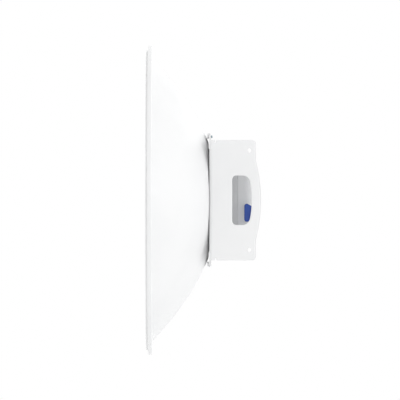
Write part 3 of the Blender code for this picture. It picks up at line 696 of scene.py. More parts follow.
def times(tree, first, second):
    """Product of two values."""
    return calculated(tree, "MULTIPLY", first, second)


def plus(tree, first, second):
    """Sum of two values."""
    return calculated(tree, "ADD", first, second)


def split(tree, vector):
    """The three parts of a vector."""
    return add(tree, "ShaderNodeSeparateXYZ", {"Vector": vector}).outputs


def ramped(tree, value, start, end, low_value=0.0, high_value=1.0):
    """Bring a value from one range smoothly to another."""
    limits = {"Value": value, "From Min": start, "From Max": end, "To Min": low_value, "To Max": high_value}
    return add(tree, "ShaderNodeMapRange", limits, interpolation_type="SMOOTHSTEP").outputs["Result"]


def cloud(tree, scale, detail=NOISE_DETAIL, vector=None):
    """Noise in the piece's own coordinates."""
    place = vector or add(tree, "ShaderNodeTexCoord").outputs["Object"]
    return add(tree, "ShaderNodeTexNoise", {"Vector": place, "Scale": scale, "Detail": detail}).outputs["Fac"]


def new_group(name, inputs, outputs):
    """Start a shader node group and return its tree, its inputs and its outputs."""
    tree = bpy.data.node_groups.new(name, "ShaderNodeTree")
    for way, labels in (("INPUT", inputs), ("OUTPUT", outputs)):
        for label in labels:
            kind = "NodeSocketColor" if label in COLOUR_SOCKETS else "NodeSocketFloat"
            tree.interface.new_socket(label, in_out=way, socket_type=kind)
    entry = tree.nodes.new("NodeGroupInput")
    leave = tree.nodes.new("NodeGroupOutput")
    return tree, entry.outputs, leave.inputs


def tint(tree, given, wanted, share):
    """Put out the colour, moved towards its tint by a share."""
    tree.links.new(mixed(tree, share, given["Colour"], given["Tint"]), wanted["Colour"])


def spread_gloss(tree, given, wanted, noise):
    """Put out the roughness, moved up and down by noise."""
    change = times(tree, calculated(tree, "SUBTRACT", noise, NOISE_MIDDLE), given["Spread"])
    tree.links.new(plus(tree, given["Roughness"], change), wanted["Roughness"])


def lay_over(tree, given, wanted, places, patches, gloss):
    """Put out the colour and the roughness, changed where both masks are open."""
    mask = times(tree, times(tree, places, patches), given["Amount"])
    tint(tree, given, wanted, mask)
    tree.links.new(plus(tree, given["Roughness"], times(tree, mask, gloss)), wanted["Roughness"])


def colour_drift_group():
    """Slow change of a colour towards a tint, as from batch, handling and age."""
    tree, given, wanted = new_group("Colour drift", ("Colour", "Tint", "Scale", "Amount"), ("Colour",))
    spread = ramped(tree, cloud(tree, given["Scale"]), *DRIFT_RANGE)
    tint(tree, given, wanted, times(tree, spread, given["Amount"]))
    return tree


def fine_grain_group():
    """Fine relief of a coat or moulding, with the change in gloss that goes with it."""
    tree, given, wanted = new_group("Fine grain", ("Roughness", "Spread", "Scale"), ("Roughness", "Height"))
    tree.links.new(cloud(tree, given["Scale"], GRAIN_DETAIL), wanted["Height"])
    spread_gloss(tree, given, wanted, cloud(tree, times(tree, given["Scale"], GLOSS_PATCH_SCALE)))
    return tree


def turned_lines_group():
    """Fine lines left by the lathe, round the dish axis."""
    inputs = ("Colour", "Tint", "Roughness", "Spread", "Scale")
    tree, given, wanted = new_group("Turned lines", inputs, ("Colour", "Roughness", "Height"))
    place = split(tree, add(tree, "ShaderNodeTexCoord").outputs["Object"])
    squares = [times(tree, place[axis], place[axis]) for axis in ("Y", "Z")]
    radius = calculated(tree, "SQRT", plus(tree, *squares))
    along = add(tree, "ShaderNodeCombineXYZ", {"X": place["X"], "Y": radius}).outputs["Vector"]
    lines = cloud(tree, given["Scale"], LINE_DETAIL, along)
    spread_gloss(tree, given, wanted, lines)
    tint(tree, given, wanted, ramped(tree, lines, *LINE_RANGE))
    tree.links.new(lines, wanted["Height"])
    return tree


def edge_wear_group():
    """Rubbed outer edges, broken up by noise."""
    inputs = ("Colour", "Tint", "Amount", "Roughness")
    tree, given, wanted = new_group("Edge wear", inputs, ("Colour", "Roughness"))
    edges = ramped(tree, add(tree, "ShaderNodeNewGeometry").outputs["Pointiness"], *WORN_EDGE_RANGE)
    broken = ramped(tree, cloud(tree, WORN_PATCH_SCALE), *WORN_PATCH_RANGE)
    lay_over(tree, given, wanted, edges, broken, WORN_GLOSS)
    return tree


def settled_dust_group():
    """Thin dust on the sides that face up."""
    inputs = ("Colour", "Tint", "Amount", "Roughness")
    tree, given, wanted = new_group("Settled dust", inputs, ("Colour", "Roughness"))
    normal = split(tree, add(tree, "ShaderNodeNewGeometry").outputs["Normal"])
    upward = ramped(tree, normal["Z"], *DUST_SLOPE_RANGE)
    patches = ramped(tree, cloud(tree, DUST_PATCH_SCALE, DUST_DETAIL), *DUST_PATCH_RANGE)
    lay_over(tree, given, wanted, upward, patches, DUST_GLOSS)
    return tree


EFFECTS = {
    "Colour drift": colour_drift_group,
    "Fine grain": fine_grain_group,
    "Turned lines": turned_lines_group,
    "Edge wear": edge_wear_group,
    "Settled dust": settled_dust_group,
}


def effect(name):
    """The shared node group of that name, made the first time that it is asked for."""
    return bpy.data.node_groups.get(name) or EFFECTS[name]()


class Surface:
    """A material in the making: each layer changes its colour, its roughness or its relief."""

    def __init__(self, name, roughness, metallic=0.0, colour=None):
        if colour is None:
            colour = getattr(bpy.context.scene.antenna_colours, name)
        self.material = bpy.data.materials.new(name)
        self.material.use_nodes = True
        self.tree = self.material.node_tree
        self.shader = self.tree.nodes["Principled BSDF"]
        self.shader.inputs["Metallic"].default_value = metallic
        self.state = {"Colour": (*colour, 1.0), "Roughness": roughness}

    def layer(self, name, **values):
        """Put one shared effect over what is there."""
        node = add(self.tree, "ShaderNodeGroup", node_tree=effect(name))
        fed = {key: value for key, value in self.state.items() if key in node.inputs}
        for key, value in {**fed, **values}.items():
            feed(self.tree, node.inputs[key], (*value, 1.0) if key == "Tint" else value)
        for socket in node.outputs:
            self.state[socket.name] = socket

    def done(self, relief=0.0, **constants):
        """Feed the shader, with the relief as a height in metres, and return the material."""
        feed(self.tree, self.shader.inputs["Base Color"], self.state["Colour"])
        feed(self.tree, self.shader.inputs["Roughness"], self.state["Roughness"])
        if relief:
            bump = add(self.tree, "ShaderNodeBump", {"Height": self.state["Height"], "Distance": relief})
            self.tree.links.new(bump.outputs["Normal"], self.shader.inputs["Normal"])
        for name, value in constants.items():
            self.shader.inputs[name.replace("_", " ")].default_value = value
        return self.material


# Finishes


def white_coat():
    """Satin powder coat with a faint orange peel."""
    surface = Surface("white_coat", roughness=0.42)
    surface.layer("Fine grain", Spread=0.12, Scale=620.0)
    surface.layer("Colour drift", Tint=(0.832, 0.838, 0.843), Scale=9.0, Amount=0.5)
    surface.layer("Edge wear", Tint=(0.925, 0.93, 0.932), Amount=0.5)
    surface.layer("Settled dust", Tint=(0.78, 0.775, 0.76), Amount=0.10)
    return surface.done(relief=0.035 * MM)


def edge_grey():
    """Matte extruded trim."""
    surface = Surface("edge_grey", roughness=0.55)
    surface.layer("Fine grain", Spread=0.15, Scale=1500.0)
    surface.layer("Colour drift", Tint=(0.82, 0.823, 0.826), Scale=14.0, Amount=0.7)
    surface.layer("Settled dust", Tint=(0.72, 0.71, 0.68), Amount=0.15)
    return surface.done(relief=0.03 * MM)


def bare_aluminium():
    """Lathe-turned aluminium."""
    surface = Surface("bare_aluminium", roughness=0.3, metallic=1.0)
    surface.layer("Turned lines", Tint=(0.70, 0.71, 0.73), Spread=0.22, Scale=2600.0)
    surface.layer("Edge wear", Tint=(0.92, 0.92, 0.92), Amount=0.8)
    return surface.done(relief=0.012 * MM)


def lens_plastic():
    """Milky dielectric plastic, turned to shape."""
    surface = Surface("lens_plastic", roughness=0.38)
    surface.layer("Turned lines", Tint=(0.79, 0.78, 0.73), Spread=0.10, Scale=1400.0)
    surface.layer("Colour drift", Tint=(0.84, 0.83, 0.80), Scale=40.0, Amount=0.6)
    return surface.done(relief=0.01 * MM, Subsurface_Weight=0.12, Subsurface_Scale=2 * MM)


def cap_plastic():
    """Fine-grained moulded cover."""
    surface = Surface("cap_plastic", roughness=0.46)
    surface.layer("Fine grain", Spread=0.10, Scale=2400.0)
    surface.layer("Colour drift", Tint=(0.74, 0.75, 0.76), Scale=30.0, Amount=0.5)
    surface.layer("Edge wear", Tint=(0.88, 0.88, 0.88), Amount=0.4)
    return surface.done(relief=0.025 * MM)


def port_plastic():
    """Spark-grained housing plastic, its grey partly its own colour and partly painted shade of the bracket's
    grip windows around it.
    """
    surface = Surface("port_plastic", roughness=0.52)
    surface.layer("Fine grain", Spread=0.14, Scale=2200.0)
    surface.layer("Colour drift", Tint=(0.555, 0.562, 0.572), Scale=22.0, Amount=0.6)
    surface.layer("Edge wear", Tint=(0.71, 0.71, 0.72), Amount=0.5)
    surface.layer("Settled dust", Tint=(0.66, 0.65, 0.62), Amount=0.18)
    return surface.done(relief=0.03 * MM)


def black_rubber():
    """Soft sealing rubber with a dry bloom."""
    surface = Surface("black_rubber", roughness=0.72)
    surface.layer("Fine grain", Spread=0.18, Scale=1800.0)
    surface.layer("Colour drift", Tint=(0.05, 0.05, 0.05), Scale=60.0, Amount=0.8)
    return surface.done(relief=0.03 * MM)


def lever_blue():
    """Satin blue moulding, a little polished where fingers press."""
    surface = Surface("lever_blue", roughness=0.36)
    surface.layer("Fine grain", Spread=0.16, Scale=2600.0)
    surface.layer("Colour drift", Tint=(0.016, 0.062, 0.325), Scale=70.0, Amount=0.7)
    surface.layer("Edge wear", Tint=(0.05, 0.10, 0.37), Amount=0.6)
    return surface.done(relief=0.015 * MM)


def steel():
    """Bright zinc plate with cloudy patches."""
    surface = Surface("steel", roughness=0.34, metallic=1.0)
    surface.layer("Fine grain", Spread=0.25, Scale=900.0)
    surface.layer("Colour drift", Tint=(0.56, 0.57, 0.60), Scale=180.0, Amount=0.9)
    surface.layer("Edge wear", Tint=(0.82, 0.82, 0.82), Amount=0.7)
    return surface.done(relief=0.01 * MM)


def ground_zinc():
    """Blue-passivated zinc of the earthing screw."""
    surface = Surface("ground_zinc", roughness=0.38, metallic=1.0)
    surface.layer("Fine grain", Spread=0.2, Scale=1100.0)
    surface.layer("Colour drift", Tint=(0.26, 0.34, 0.36), Scale=260.0, Amount=0.8)
    return surface.done(relief=0.01 * MM)


FINISHES = {
    recipe.__name__: recipe
    for recipe in (
        white_coat, edge_grey, bare_aluminium, lens_plastic, cap_plastic,
        port_plastic, black_rubber, lever_blue, steel, ground_zinc,
    )
}


def finish(slot):
    """The material of that slot, made the first time that it is asked for."""
    made = bpy.context.scene.get("antenna_finishes", {})
    if slot in made:
        return bpy.data.materials[made[slot]]
    material = FINISHES[slot]()
    bpy.context.scene["antenna_finishes"] = {**dict(made), slot: material.name}
    return material


# Dish and edge ring


def bowl_x(radius):
    """Place along the axis of the paraboloid's rear surface at a radius."""
    return VERTEX_X - radius * radius / (4 * FOCAL_LENGTH)


def dish_line():
    """Rear surface of the pressing from its centre hole to the end of its lip."""
    rim_front, _, rim_radius = ends("reflector_rim")
    flange_x = bowl_x(BOWL_RADIUS)
    flat_radius = math.sqrt((VERTEX_X - SHOULDER_X) * 4 * FOCAL_LENGTH)
    corners = [
        (-FIT_GAP, CENTRE_HOLE, 0),
        (-FIT_GAP, PAD_RADIUS, PAD_ROUND),
        (SHOULDER_X, PAD_RADIUS + PAD_STEP_WIDTH, PAD_ROUND),
        (SHOULDER_X, flat_radius, CENTRE_BLEND),
    ]
    for reach in spaced(BOWL_RADIUS - flat_radius, BOWL_ROWS)[2:-1]:
        corners.append((bowl_x(flat_radius + reach), flat_radius + reach, 0))
    corners.append((flange_x, BOWL_RADIUS, FLANGE_BLEND))
    corners.append((flange_x, rim_radius, LIP_BEND))
    corners.append((rim_front + DISH_SHEET / 2, rim_radius, 0))
    return rounded(corners)


def sheet_section(line, thickness):
    """Section of a sheet: the line, a round end, and the line moved to its left on the way back."""
    back = shifted(line, thickness, closed=False)
    way = (line[-1] - line[-2]).normalized()
    centre = (line[-1] + back[-1]) / 2
    across = (line[-1] - back[-1]) / 2
    end = []
    for turn in spaced(math.pi, CORNER_STEPS)[1:-1]:
        end.append(centre + across * math.cos(turn) + way * thickness / 2 * math.sin(turn))
    return line + end + back[::-1]


class MakeDish(bpy.types.Operator):
    """Press the dish: flat centre, paraboloid bowl, flat flange and lip"""

    bl_idname = "antenna.make_dish"
    bl_label = "Dish"

    def execute(self, context):
        sides = context.scene.antenna_shape.dish_sides
        dish = turned("dish_pressing", sheet_section(dish_line(), DISH_SHEET), "white_coat", sides=sides)
        for stem in ("bracket_bolt", "feed_screw"):
            drill(dish, -DISH_SHEET - OVERRUN, OVERRUN, stem)
        dress(dish, "reflector", "reflector_rim")
        return {"FINISHED"}


class MakeEdgeRing(bpy.types.Operator):
    """Turn the grooved ring that stands in front of the flange"""

    bl_idname = "antenna.make_edge_ring"
    bl_label = "Edge ring"

    def execute(self, context):
        front, seat, outer = ends("edge_ring")
        groove_x = (front + seat) / 2
        section = rounded([
            (seat, outer, FINE_ROUND),
            (groove_x + RING_GROOVE, outer, 0),
            (groove_x, outer - RING_GROOVE, 0),
            (groove_x - RING_GROOVE, outer, 0),
            (front, outer, RING_ROUND),
            (front, RING_INNER, RING_ROUND),
            (seat, RING_INNER, FINE_ROUND),
        ])
        sides = context.scene.antenna_shape.dish_sides
        dress(turned("edge_trim", section, "edge_grey", sides=sides), "edge_ring")
        return {"FINISHED"}


# Feed


class MakeFeedTube(bpy.types.Operator):
    """Turn the waveguide tube with its mounting flange"""

    bl_idname = "antenna.make_feed_tube"
    bl_label = "Feed tube"

    def execute(self, context):
        front, rear, flange_radius = ends("feed_tube")
        flange_rear = -DISH_SHEET - 2 * FIT_GAP
        flange_front = flange_rear - FLANGE_THICK
        section = rounded([
            (front, TUBE_BORE, FINE_ROUND),
            (front, TUBE_RADIUS, BROAD_ROUND),
            (flange_front, TUBE_RADIUS, TUBE_FILLET),
            (flange_front, flange_radius, FLANGE_ROUND),
            (flange_rear, flange_radius, EDGE_ROUND),
            (flange_rear, TUBE_RADIUS, 0),
            (rear, TUBE_RADIUS, BORE_ROUND),
            (rear, TUBE_BORE, FINE_ROUND),
        ])
        tube = turned("waveguide_tube", section, "bare_aluminium")
        drill(tube, flange_front - OVERRUN, flange_rear + OVERRUN, "feed_screw")
        dress(tube, "feed_tube")
        return {"FINISHED"}


class MakeFeedHead(bpy.types.Operator):
    """Turn the grooved lens cone, the subreflector and its cover"""

    bl_idname = "antenna.make_feed_head"
    bl_label = "Feed head"

    def execute(self, context):
        for name, section, slot, node in (
            ("lens_cone", self.lens_section(), "lens_plastic", "feed_lens"),
            ("subreflector_plate", self.plate_section(), "bare_aluminium", "subreflector"),
            ("subreflector_cover", self.cap_section(), "cap_plastic", "feed_cap"),
        ):
            dress(turned(name, section, slot, closed=False), node)
        return {"FINISHED"}

    def lens_section(self):
        """Plug, collar, grooved cone and rim of the lens, from its tip to its front."""
        front, _, radius = ends("feed_lens")
        tube_front = low("feed_tube").x
        collar_x = tube_front - FIT_GAP
        plug_radius = TUBE_BORE - FIT_GAP
        points = rounded([
            (tube_front + LENS_PLUG, LENS_TIP / 2, 0),
            (tube_front + LENS_PLUG, LENS_TIP, LENS_TIP_ROUND),
            (tube_front, plug_radius, LENS_PLUG_ROUND),
            (collar_x, plug_radius, 0),
            (collar_x, TUBE_RADIUS, 0),
        ])
        cone_start = Vector((collar_x, TUBE_RADIUS))
        cone_end = Vector((front + LENS_RIM, radius))
        way = (cone_end - cone_start).normalized()
        inward = Vector((-way.y, way.x))
        for start in LENS_GROOVES:
            lip = cone_start + way * start
            far_lip = lip + way * GROOVE_WIDTH
            points.extend([lip, lip + inward * GROOVE_DEPTH, far_lip + inward * GROOVE_DEPTH, far_lip])
        rim = [(*cone_end, 0), (front, radius, LENS_RIM_ROUND), (front, CAP_BOSS, 0)]
        return points + rounded(rim)

    def plate_section(self):
        """Flat subreflector with a rounded rim."""
        front, rear, radius = ends("subreflector")
        return rounded([
            (rear, CAP_BOSS, 0),
            (rear, radius, SUBREFLECTOR_ROUND),
            (front, radius, SUBREFLECTOR_ROUND),
            (front, CAP_BOSS, 0),
        ])

    def cap_section(self):
        """Cover with a raised rim, a shallow recess and a centre boss."""
        front, rear, radius = ends("feed_cap")
        floor = front + CAP_RECESS
        return rounded([
            (rear, CAP_BOSS, 0),
            (rear, radius, FINE_ROUND),
            (front, radius, CAP_ROUND),
            (front, radius - CAP_RIM, FINE_ROUND),
            (floor, radius - CAP_RIM - CAP_RECESS, FINE_ROUND),
            (floor, CAP_BOSS + CAP_RECESS, FINE_ROUND),
            (front, CAP_BOSS, FINE_ROUND),
            (front, CAP_BOSS / 2, 0),
        ])


# Folded bracket


def web_run(x):
    """Distance along the flat pattern of a point of the web, from its place behind the plate."""
    return PLATE_HALF + BEND_LENGTH + x - BEND_RADIUS


def web_rear_line():
    """Rear edge of the web from the dish axis up to its upper corner: a bulge eased into a straight."""
    bulge = high("bracket").x - WEB_DEPTH
    radius = (BULGE_HALF_HEIGHT ** 2 + bulge ** 2) / (2 * bulge)
    centre_x = WEB_DEPTH + bulge - radius
    blend_x = WEB_DEPTH + BULGE_BLEND
    blend_z = math.sqrt((radius + BULGE_BLEND) ** 2 - (blend_x - centre_x) ** 2)
    turn = math.degrees(math.atan2(blend_z, blend_x - centre_x))
    line = arc((web_run(centre_x), 0.0), radius, 0, turn, BULGE_STEPS)
    line.extend(arc((web_run(blend_x), blend_z), BULGE_BLEND, 180 + turn, 180, BLEND_STEPS)[1:])
    return line


def sheet_outline():
    """Outline of the flat pattern, counterclockwise from the rear of one web."""
    notch_front, notch_rear = (web_run(x) for x in NOTCH_X)
    notch_z = WEB_TOP - NOTCH_DEPTH
    notch_round = (notch_rear - notch_front) / 2 - SLIVER
    tip_z = FOLD_HEIGHT + HEM_LENGTH + HEM_RETURN
    quarter = web_rear_line() + rounded([
        (web_run(WEB_DEPTH), BULGE_HALF_HEIGHT + BULGE_BLEND / 2, 0),
        (web_run(WEB_DEPTH), WEB_TOP, WEB_CORNER),
        (notch_rear, WEB_TOP, NOTCH_MOUTH_ROUND),
        (notch_rear, notch_z, notch_round),
        (notch_front, notch_z, notch_round),
        (notch_front, WEB_TOP, NOTCH_MOUTH_ROUND),
        (TAB_HALF_WIDTH, WEB_TOP, TAB_ROOT_ROUND),
        (TAB_HALF_WIDTH, tip_z, TAB_TIP_ROUND),
        (0.0, tip_z, 0),
    ])[1:-1]
    upper = quarter + mirrored_across(quarter, 0)
    lower = mirrored_across(upper, 1)
    return upper + lower[1:-1]


def window_outline(side):
    """Grip window in the flat pattern: square in front, round and bulged behind."""
    front, rear = WINDOW_X
    corner = WINDOW_REAR_CORNER
    corner_z = WINDOW_HALF_HEIGHT - corner
    centre_x = rear - WINDOW_REAR_RADIUS
    turn = math.asin(corner_z / (WINDOW_REAR_RADIUS - corner))
    turn_deg = math.degrees(turn)
    corner_x = centre_x + (WINDOW_REAR_RADIUS - corner) * math.cos(turn)
    upper = arc((web_run(centre_x), 0.0), WINDOW_REAR_RADIUS, 0, turn_deg, WINDOW_STEPS)
    upper.extend(arc((web_run(corner_x), corner_z), corner, turn_deg, 90, BULGE_STEPS)[1:])
    front_centre = (web_run(front + WINDOW_FRONT_CORNER), WINDOW_HALF_HEIGHT - WINDOW_FRONT_CORNER)
    upper.extend(arc(front_centre, WINDOW_FRONT_CORNER, 90, 180, WINDOW_STEPS))
    outline = upper + mirrored_across(upper, 1)[:-1]
    if side > 0:
        return outline[::-1]
    return [Vector((-point.x, point.y)) for point in outline]


def plate_holes():
    """Centre and radius of each hole in the bracket plate."""
    holes = [((0.0, 0.0), TUBE_RADIUS + FIT_GAP)]
    for stem in ("bracket_bolt", "feed_screw", "port_screw"):
        holes.extend((place, SHANKS[stem] + FIT_GAP) for place in fastener_places(stem))
    holes.append((middle("ground_screw"), SHANKS["ground_screw"] + FIT_GAP))
    return holes


def folded(point):
    """Place in the folded bracket of a point of the flat pattern."""
    run, height, depth = point
    past_plate = abs(run) - PLATE_HALF
    x, y = depth, run
    if past_plate > 0:
        turn = min(past_plate / BEND_NEUTRAL, math.pi / 2)
        reach = BEND_RADIUS - depth
        x = BEND_RADIUS - reach * math.cos(turn) + max(past_plate - BEND_LENGTH, 0.0)
        y = math.copysign(PLATE_HALF + reach * math.sin(turn), run)
    z = height
    past_fold = abs(height) - FOLD_HEIGHT
    if past_fold > 0:
        turn = min(past_fold / HEM_NEUTRAL, math.pi)
        reach = HEM_INNER + depth
        x = reach * math.cos(turn) - HEM_INNER
        z = math.copysign(FOLD_HEIGHT + reach * math.sin(turn) - max(past_fold - HEM_LENGTH, 0.0), height)
    return Vector((x, y, z))


def score(bm, direction, start, length):
    """Cut a flat pattern across in steps along one bend, so that it can bend there."""
    for run in spaced(length, BEND_STEPS):
        everything = [*bm.verts, *bm.edges, *bm.faces]
        bmesh.ops.bisect_plane(bm, geom=everything, plane_co=direction * (start + run), plane_no=direction)


class MakeBracket(bpy.types.Operator):
    """Cut the bracket's flat pattern with all its holes, round its rims and fold it"""

    bl_idname = "antenna.make_bracket"
    bl_label = "Folded bracket"

    def execute(self, context):
        shape = context.scene.antenna_shape
        contours = [(sheet_outline(), shape.edge_round, INNER_ROUND)]
        for side in (1, -1):
            contours.append((window_outline(side), shape.window_round, INNER_ROUND))
            for end in (1, -1):
                hole = round_hole((side * web_run(WEB_HOLE[0]), end * WEB_HOLE[1]), WEB_HOLE_RADIUS)
                contours.append((hole, HOLE_ROUND, HOLE_ROUND))
        for centre, radius in plate_holes():
            contours.append((round_hole(centre, radius), HOLE_ROUND, HOLE_ROUND))
        bm = plate_mesh(contours, BRACKET_SHEET)
        for side in (1, -1):
            score(bm, Vector((side, 0.0, 0.0)), PLATE_HALF, BEND_LENGTH)
            score(bm, Vector((0.0, side, 0.0)), FOLD_HEIGHT, HEM_LENGTH)
        reshape(bm, folded)
        dress(new_piece("folded_bracket", bm, "white_coat"), "bracket")
        return {"FINISHED"}


# Fasteners


def fastener_places(stem):
    """Centres across the dish axis of four like fasteners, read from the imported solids."""
    return [middle(f"{stem}_{number}") for number in NUMBERS]


def rounds(centre, *section):
    """Round rings of a fastener from its section, as (x, radius)."""
    return [circle(x, radius, SCREW_SIDES, centre) for x, radius in section]


def hexagons(centre, corner, *section):
    """Hexagonal rings of a fastener from its section, as (x, radius of the cone that cuts it back)."""
    return [hexagon(x, corner, limit, centre) for x, limit in section]


def thread_rings(start, end, centre):
    """Rings of a bolt's thread along x."""
    step = THREAD_PITCH / THREAD_ROWS_A_TURN
    rings = []
    for row in range(int((end - start) / step) + 1):
        x = start + row * step
        ring = []
        for i, turn in enumerate(all_round(SCREW_SIDES)):
            phase = (x / THREAD_PITCH - i / SCREW_SIDES) % 1.0
            ring.append(ring_point(x, BOLT_RADIUS - THREAD_DEPTH * abs(2 * phase - 1), turn, centre))
        rings.append(ring)
    return rings


def bolt_rings(node):
    """Chamfered head with a washer face, shank and thread of a bolt, from front to rear."""
    top, end, _ = ends(node)
    centre = middle(node)
    seat = -DISH_SHEET - 2 * FIT_GAP
    washer_x = seat - WASHER_THICK
    chamfer = [
        (top + depth, HEAD_TOP + reach)
        for depth, reach in zip(*(spaced(span, CORNER_STEPS)[1:] for span in HEAD_CHAMFER))
    ]
    face = ((washer_x, HEX_CORNER), (washer_x, WASHER_FACE))
    return [
        *hexagons(centre, HEX_CORNER, (top, HEAD_MIDDLE), (top, HEAD_TOP), *chamfer, *face),
        *rounds(
            centre,
            (seat, WASHER_SEAT),
            (seat, BOLT_RADIUS),
            (BRACKET_SHEET - THREAD_PITCH / 2, BOLT_RADIUS),
        ),
        *thread_rings(BRACKET_SHEET, end - THREAD_END, centre),
        *rounds(
            centre,
            (end - THREAD_TIP, BOLT_RADIUS - THREAD_DEPTH),
            (end, BOLT_RADIUS - 2 * THREAD_DEPTH),
        ),
    ]


def nut_rings(node):
    """Hexagon nut that widens into a round flange at its seat."""
    seat, rear, _ = ends(node)
    centre = middle(node)
    bore = BOLT_RADIUS + FIT_GAP / 2
    flange_top = seat + NUT_FLANGE_THICK
    corner_x, chamfer_x = (rear - depth for depth in NUT_CHAMFERS)
    return [
        *rounds(
            centre,
            (seat, bore + EDGE_ROUND),
            (seat, NUT_FLANGE - FINE_ROUND),
            (seat + FINE_ROUND, NUT_FLANGE),
            (flange_top - EDGE_ROUND, NUT_FLANGE),
            (flange_top - NUT_FLANGE_LIP, NUT_FLANGE - EDGE_ROUND),
        ),
        *hexagons(
            centre, HEX_CORNER,
            (flange_top + NUT_CONE, HEX_CORNER),
            (corner_x, HEX_CORNER),
            (chamfer_x, HEX_FLAT + NUT_CHAMFER_REACH),
            (rear, WASHER_FACE),
        ),
        *rounds(centre, (rear, bore + EDGE_ROUND), (rear - EDGE_ROUND, bore), (seat + EDGE_ROUND, bore)),
    ]


class MakeBracketBolts(bpy.types.Operator):
    """Make the hexagon bolts and flange nuts that hold the dish on the bracket"""

    bl_idname = "antenna.make_bracket_bolts"
    bl_label = "Bracket bolts and nuts"

    def execute(self, context):
        for number in NUMBERS:
            bolt, nut = f"bracket_bolt_{number}", f"bracket_nut_{number}"
            dress(lofted(f"hexagon_bolt_{number}", bolt_rings(bolt), "steel"), bolt)
            dress(lofted(f"flange_nut_{number}", nut_rings(nut), "steel", closed=True), nut)
        return {"FINISHED"}


def socket_screw_rings(node, seat):
    """Domed screw with a hexagon socket: its head reaches from its seat to the far end."""
    front, rear, _ = ends(node)
    centre = middle(node)
    shank = SHANKS[node.rstrip("_1234")]
    radius = (high(node).y - low(node).y) / 2
    head_end, shank_end = (rear, front) if abs(rear - seat) < abs(front - seat) else (front, rear)
    height = head_end - seat
    way = math.copysign(1.0, shank_end - seat)
    socket = radius * SCREW_SOCKET
    point_depth, point_share = SCREW_SOCKET_POINT
    return [
        *rounds(
            centre,
            (shank_end, shank * (1 - SHANK_CHAMFER)),
            (shank_end - way * shank * SHANK_CHAMFER, shank),
            (seat, shank),
            *((seat + height * rise, radius * share) for rise, share in CROWN),
        ),
        *hexagons(centre, socket, *((head_end - height * depth, socket) for depth in SCREW_SOCKET_DEPTHS)),
        *rounds(centre, (head_end - height * point_depth, socket * point_share)),
    ]


class MakeScrews(bpy.types.Operator):
    """Make the socket screws of the feed flange and the port, and the earthing screw"""

    bl_idname = "antenna.make_screws"
    bl_label = "Socket screws"

    def execute(self, context):
        feed_seat = -DISH_SHEET - 3 * FIT_GAP - FLANGE_THICK
        port_seat = high("port_screw_1").x - PORT_HEAD
        for number in NUMBERS:
            self.screw(f"flange_screw_{number}", f"feed_screw_{number}", feed_seat, "steel")
            self.screw(f"cover_screw_{number}", f"port_screw_{number}", port_seat, "steel")
        self.screw("earthing_screw", "ground_screw", BRACKET_SHEET + FIT_GAP, "ground_zinc")
        return {"FINISHED"}

    def screw(self, name, node, seat, slot):
        """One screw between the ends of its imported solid."""
        dress(lofted(name, socket_screw_rings(node, seat), slot), node)


# Port housing


def inner_rings(*section):
    """Round rings of the port's inside from its section, as (x, radius)."""
    return [circle_in_band(x, radius) for x, radius in section]


class MakePortTub(bpy.types.Operator):
    """Mould the drafted front half of the port housing"""

    bl_idname = "antenna.make_port_tub"
    bl_label = "Port tub"

    def execute(self, context):
        front, rear, half = ends("port_base")
        floor = front + PORT_WALL
        bore = TUBE_RADIUS + FIT_GAP
        front_draft, rear_draft = TUB_DRAFTS
        middle_x, middle_inset = PARTING_MIDDLE
        rings = [
            housing(front, PORT_FRONT_HALF, TUB_ROUND),
            housing(front + TUB_ROUND_MIDDLE, PORT_FRONT_HALF, TUB_ROUND_MIDDLE),
            housing(front + TUB_ROUND, PORT_FRONT_HALF + front_draft),
            housing(rear - PARTING_GROOVE, half - rear_draft),
            housing(rear - middle_x, half, middle_inset),
            housing(rear, half, PARTING_GROOVE),
            housing(rear, half, PORT_WALL),
            housing(floor, PORT_FRONT_HALF, PORT_WALL),
            *inner_rings((floor, bore + BORE_ROUND), (floor - BORE_ROUND, bore)),
            *inner_rings((front + BORE_ROUND, bore), (front, bore + BORE_ROUND)),
        ]
        dress(lofted("port_tub", rings, "port_plastic", closed=True), "port_base")
        return {"FINISHED"}


def hinge_ear(root_y, start, end):
    """Tool body of an ear about the lever's hinge, from its round end to its root, with rounded rims."""
    way = math.copysign(1.0, root_y)
    outline = [Vector((-way * point.x, point.y)) for point in arc((0.0, 0.0), EAR_RADIUS, -90, 90, EAR_STEPS)]
    outline += [Vector((root_y, EAR_RADIUS)), Vector((root_y, -EAR_RADIUS))]
    if way > 0:
        outline.reverse()
    bm = plate_mesh([(outline, EAR_ROUND, EAR_ROUND)], end - start)
    reshape(bm, lambda point: Vector((start + point.z, point.x, point.y)))
    return new_piece("ear", bm, location=HINGE)


def pin_reach():
    """Half the length of the hinge pin."""
    front, rear, _ = ends("lever_pin")
    return (rear - front) / 2


def hinge_bore():
    """Tool body for the pin's bore."""
    reach = pin_reach() + OVERRUN
    rings = [circle(x, PIN_RADIUS + FIT_GAP, SCREW_SIDES) for x in (-reach, reach)]
    return lofted("pin_bore", rings, location=HINGE)


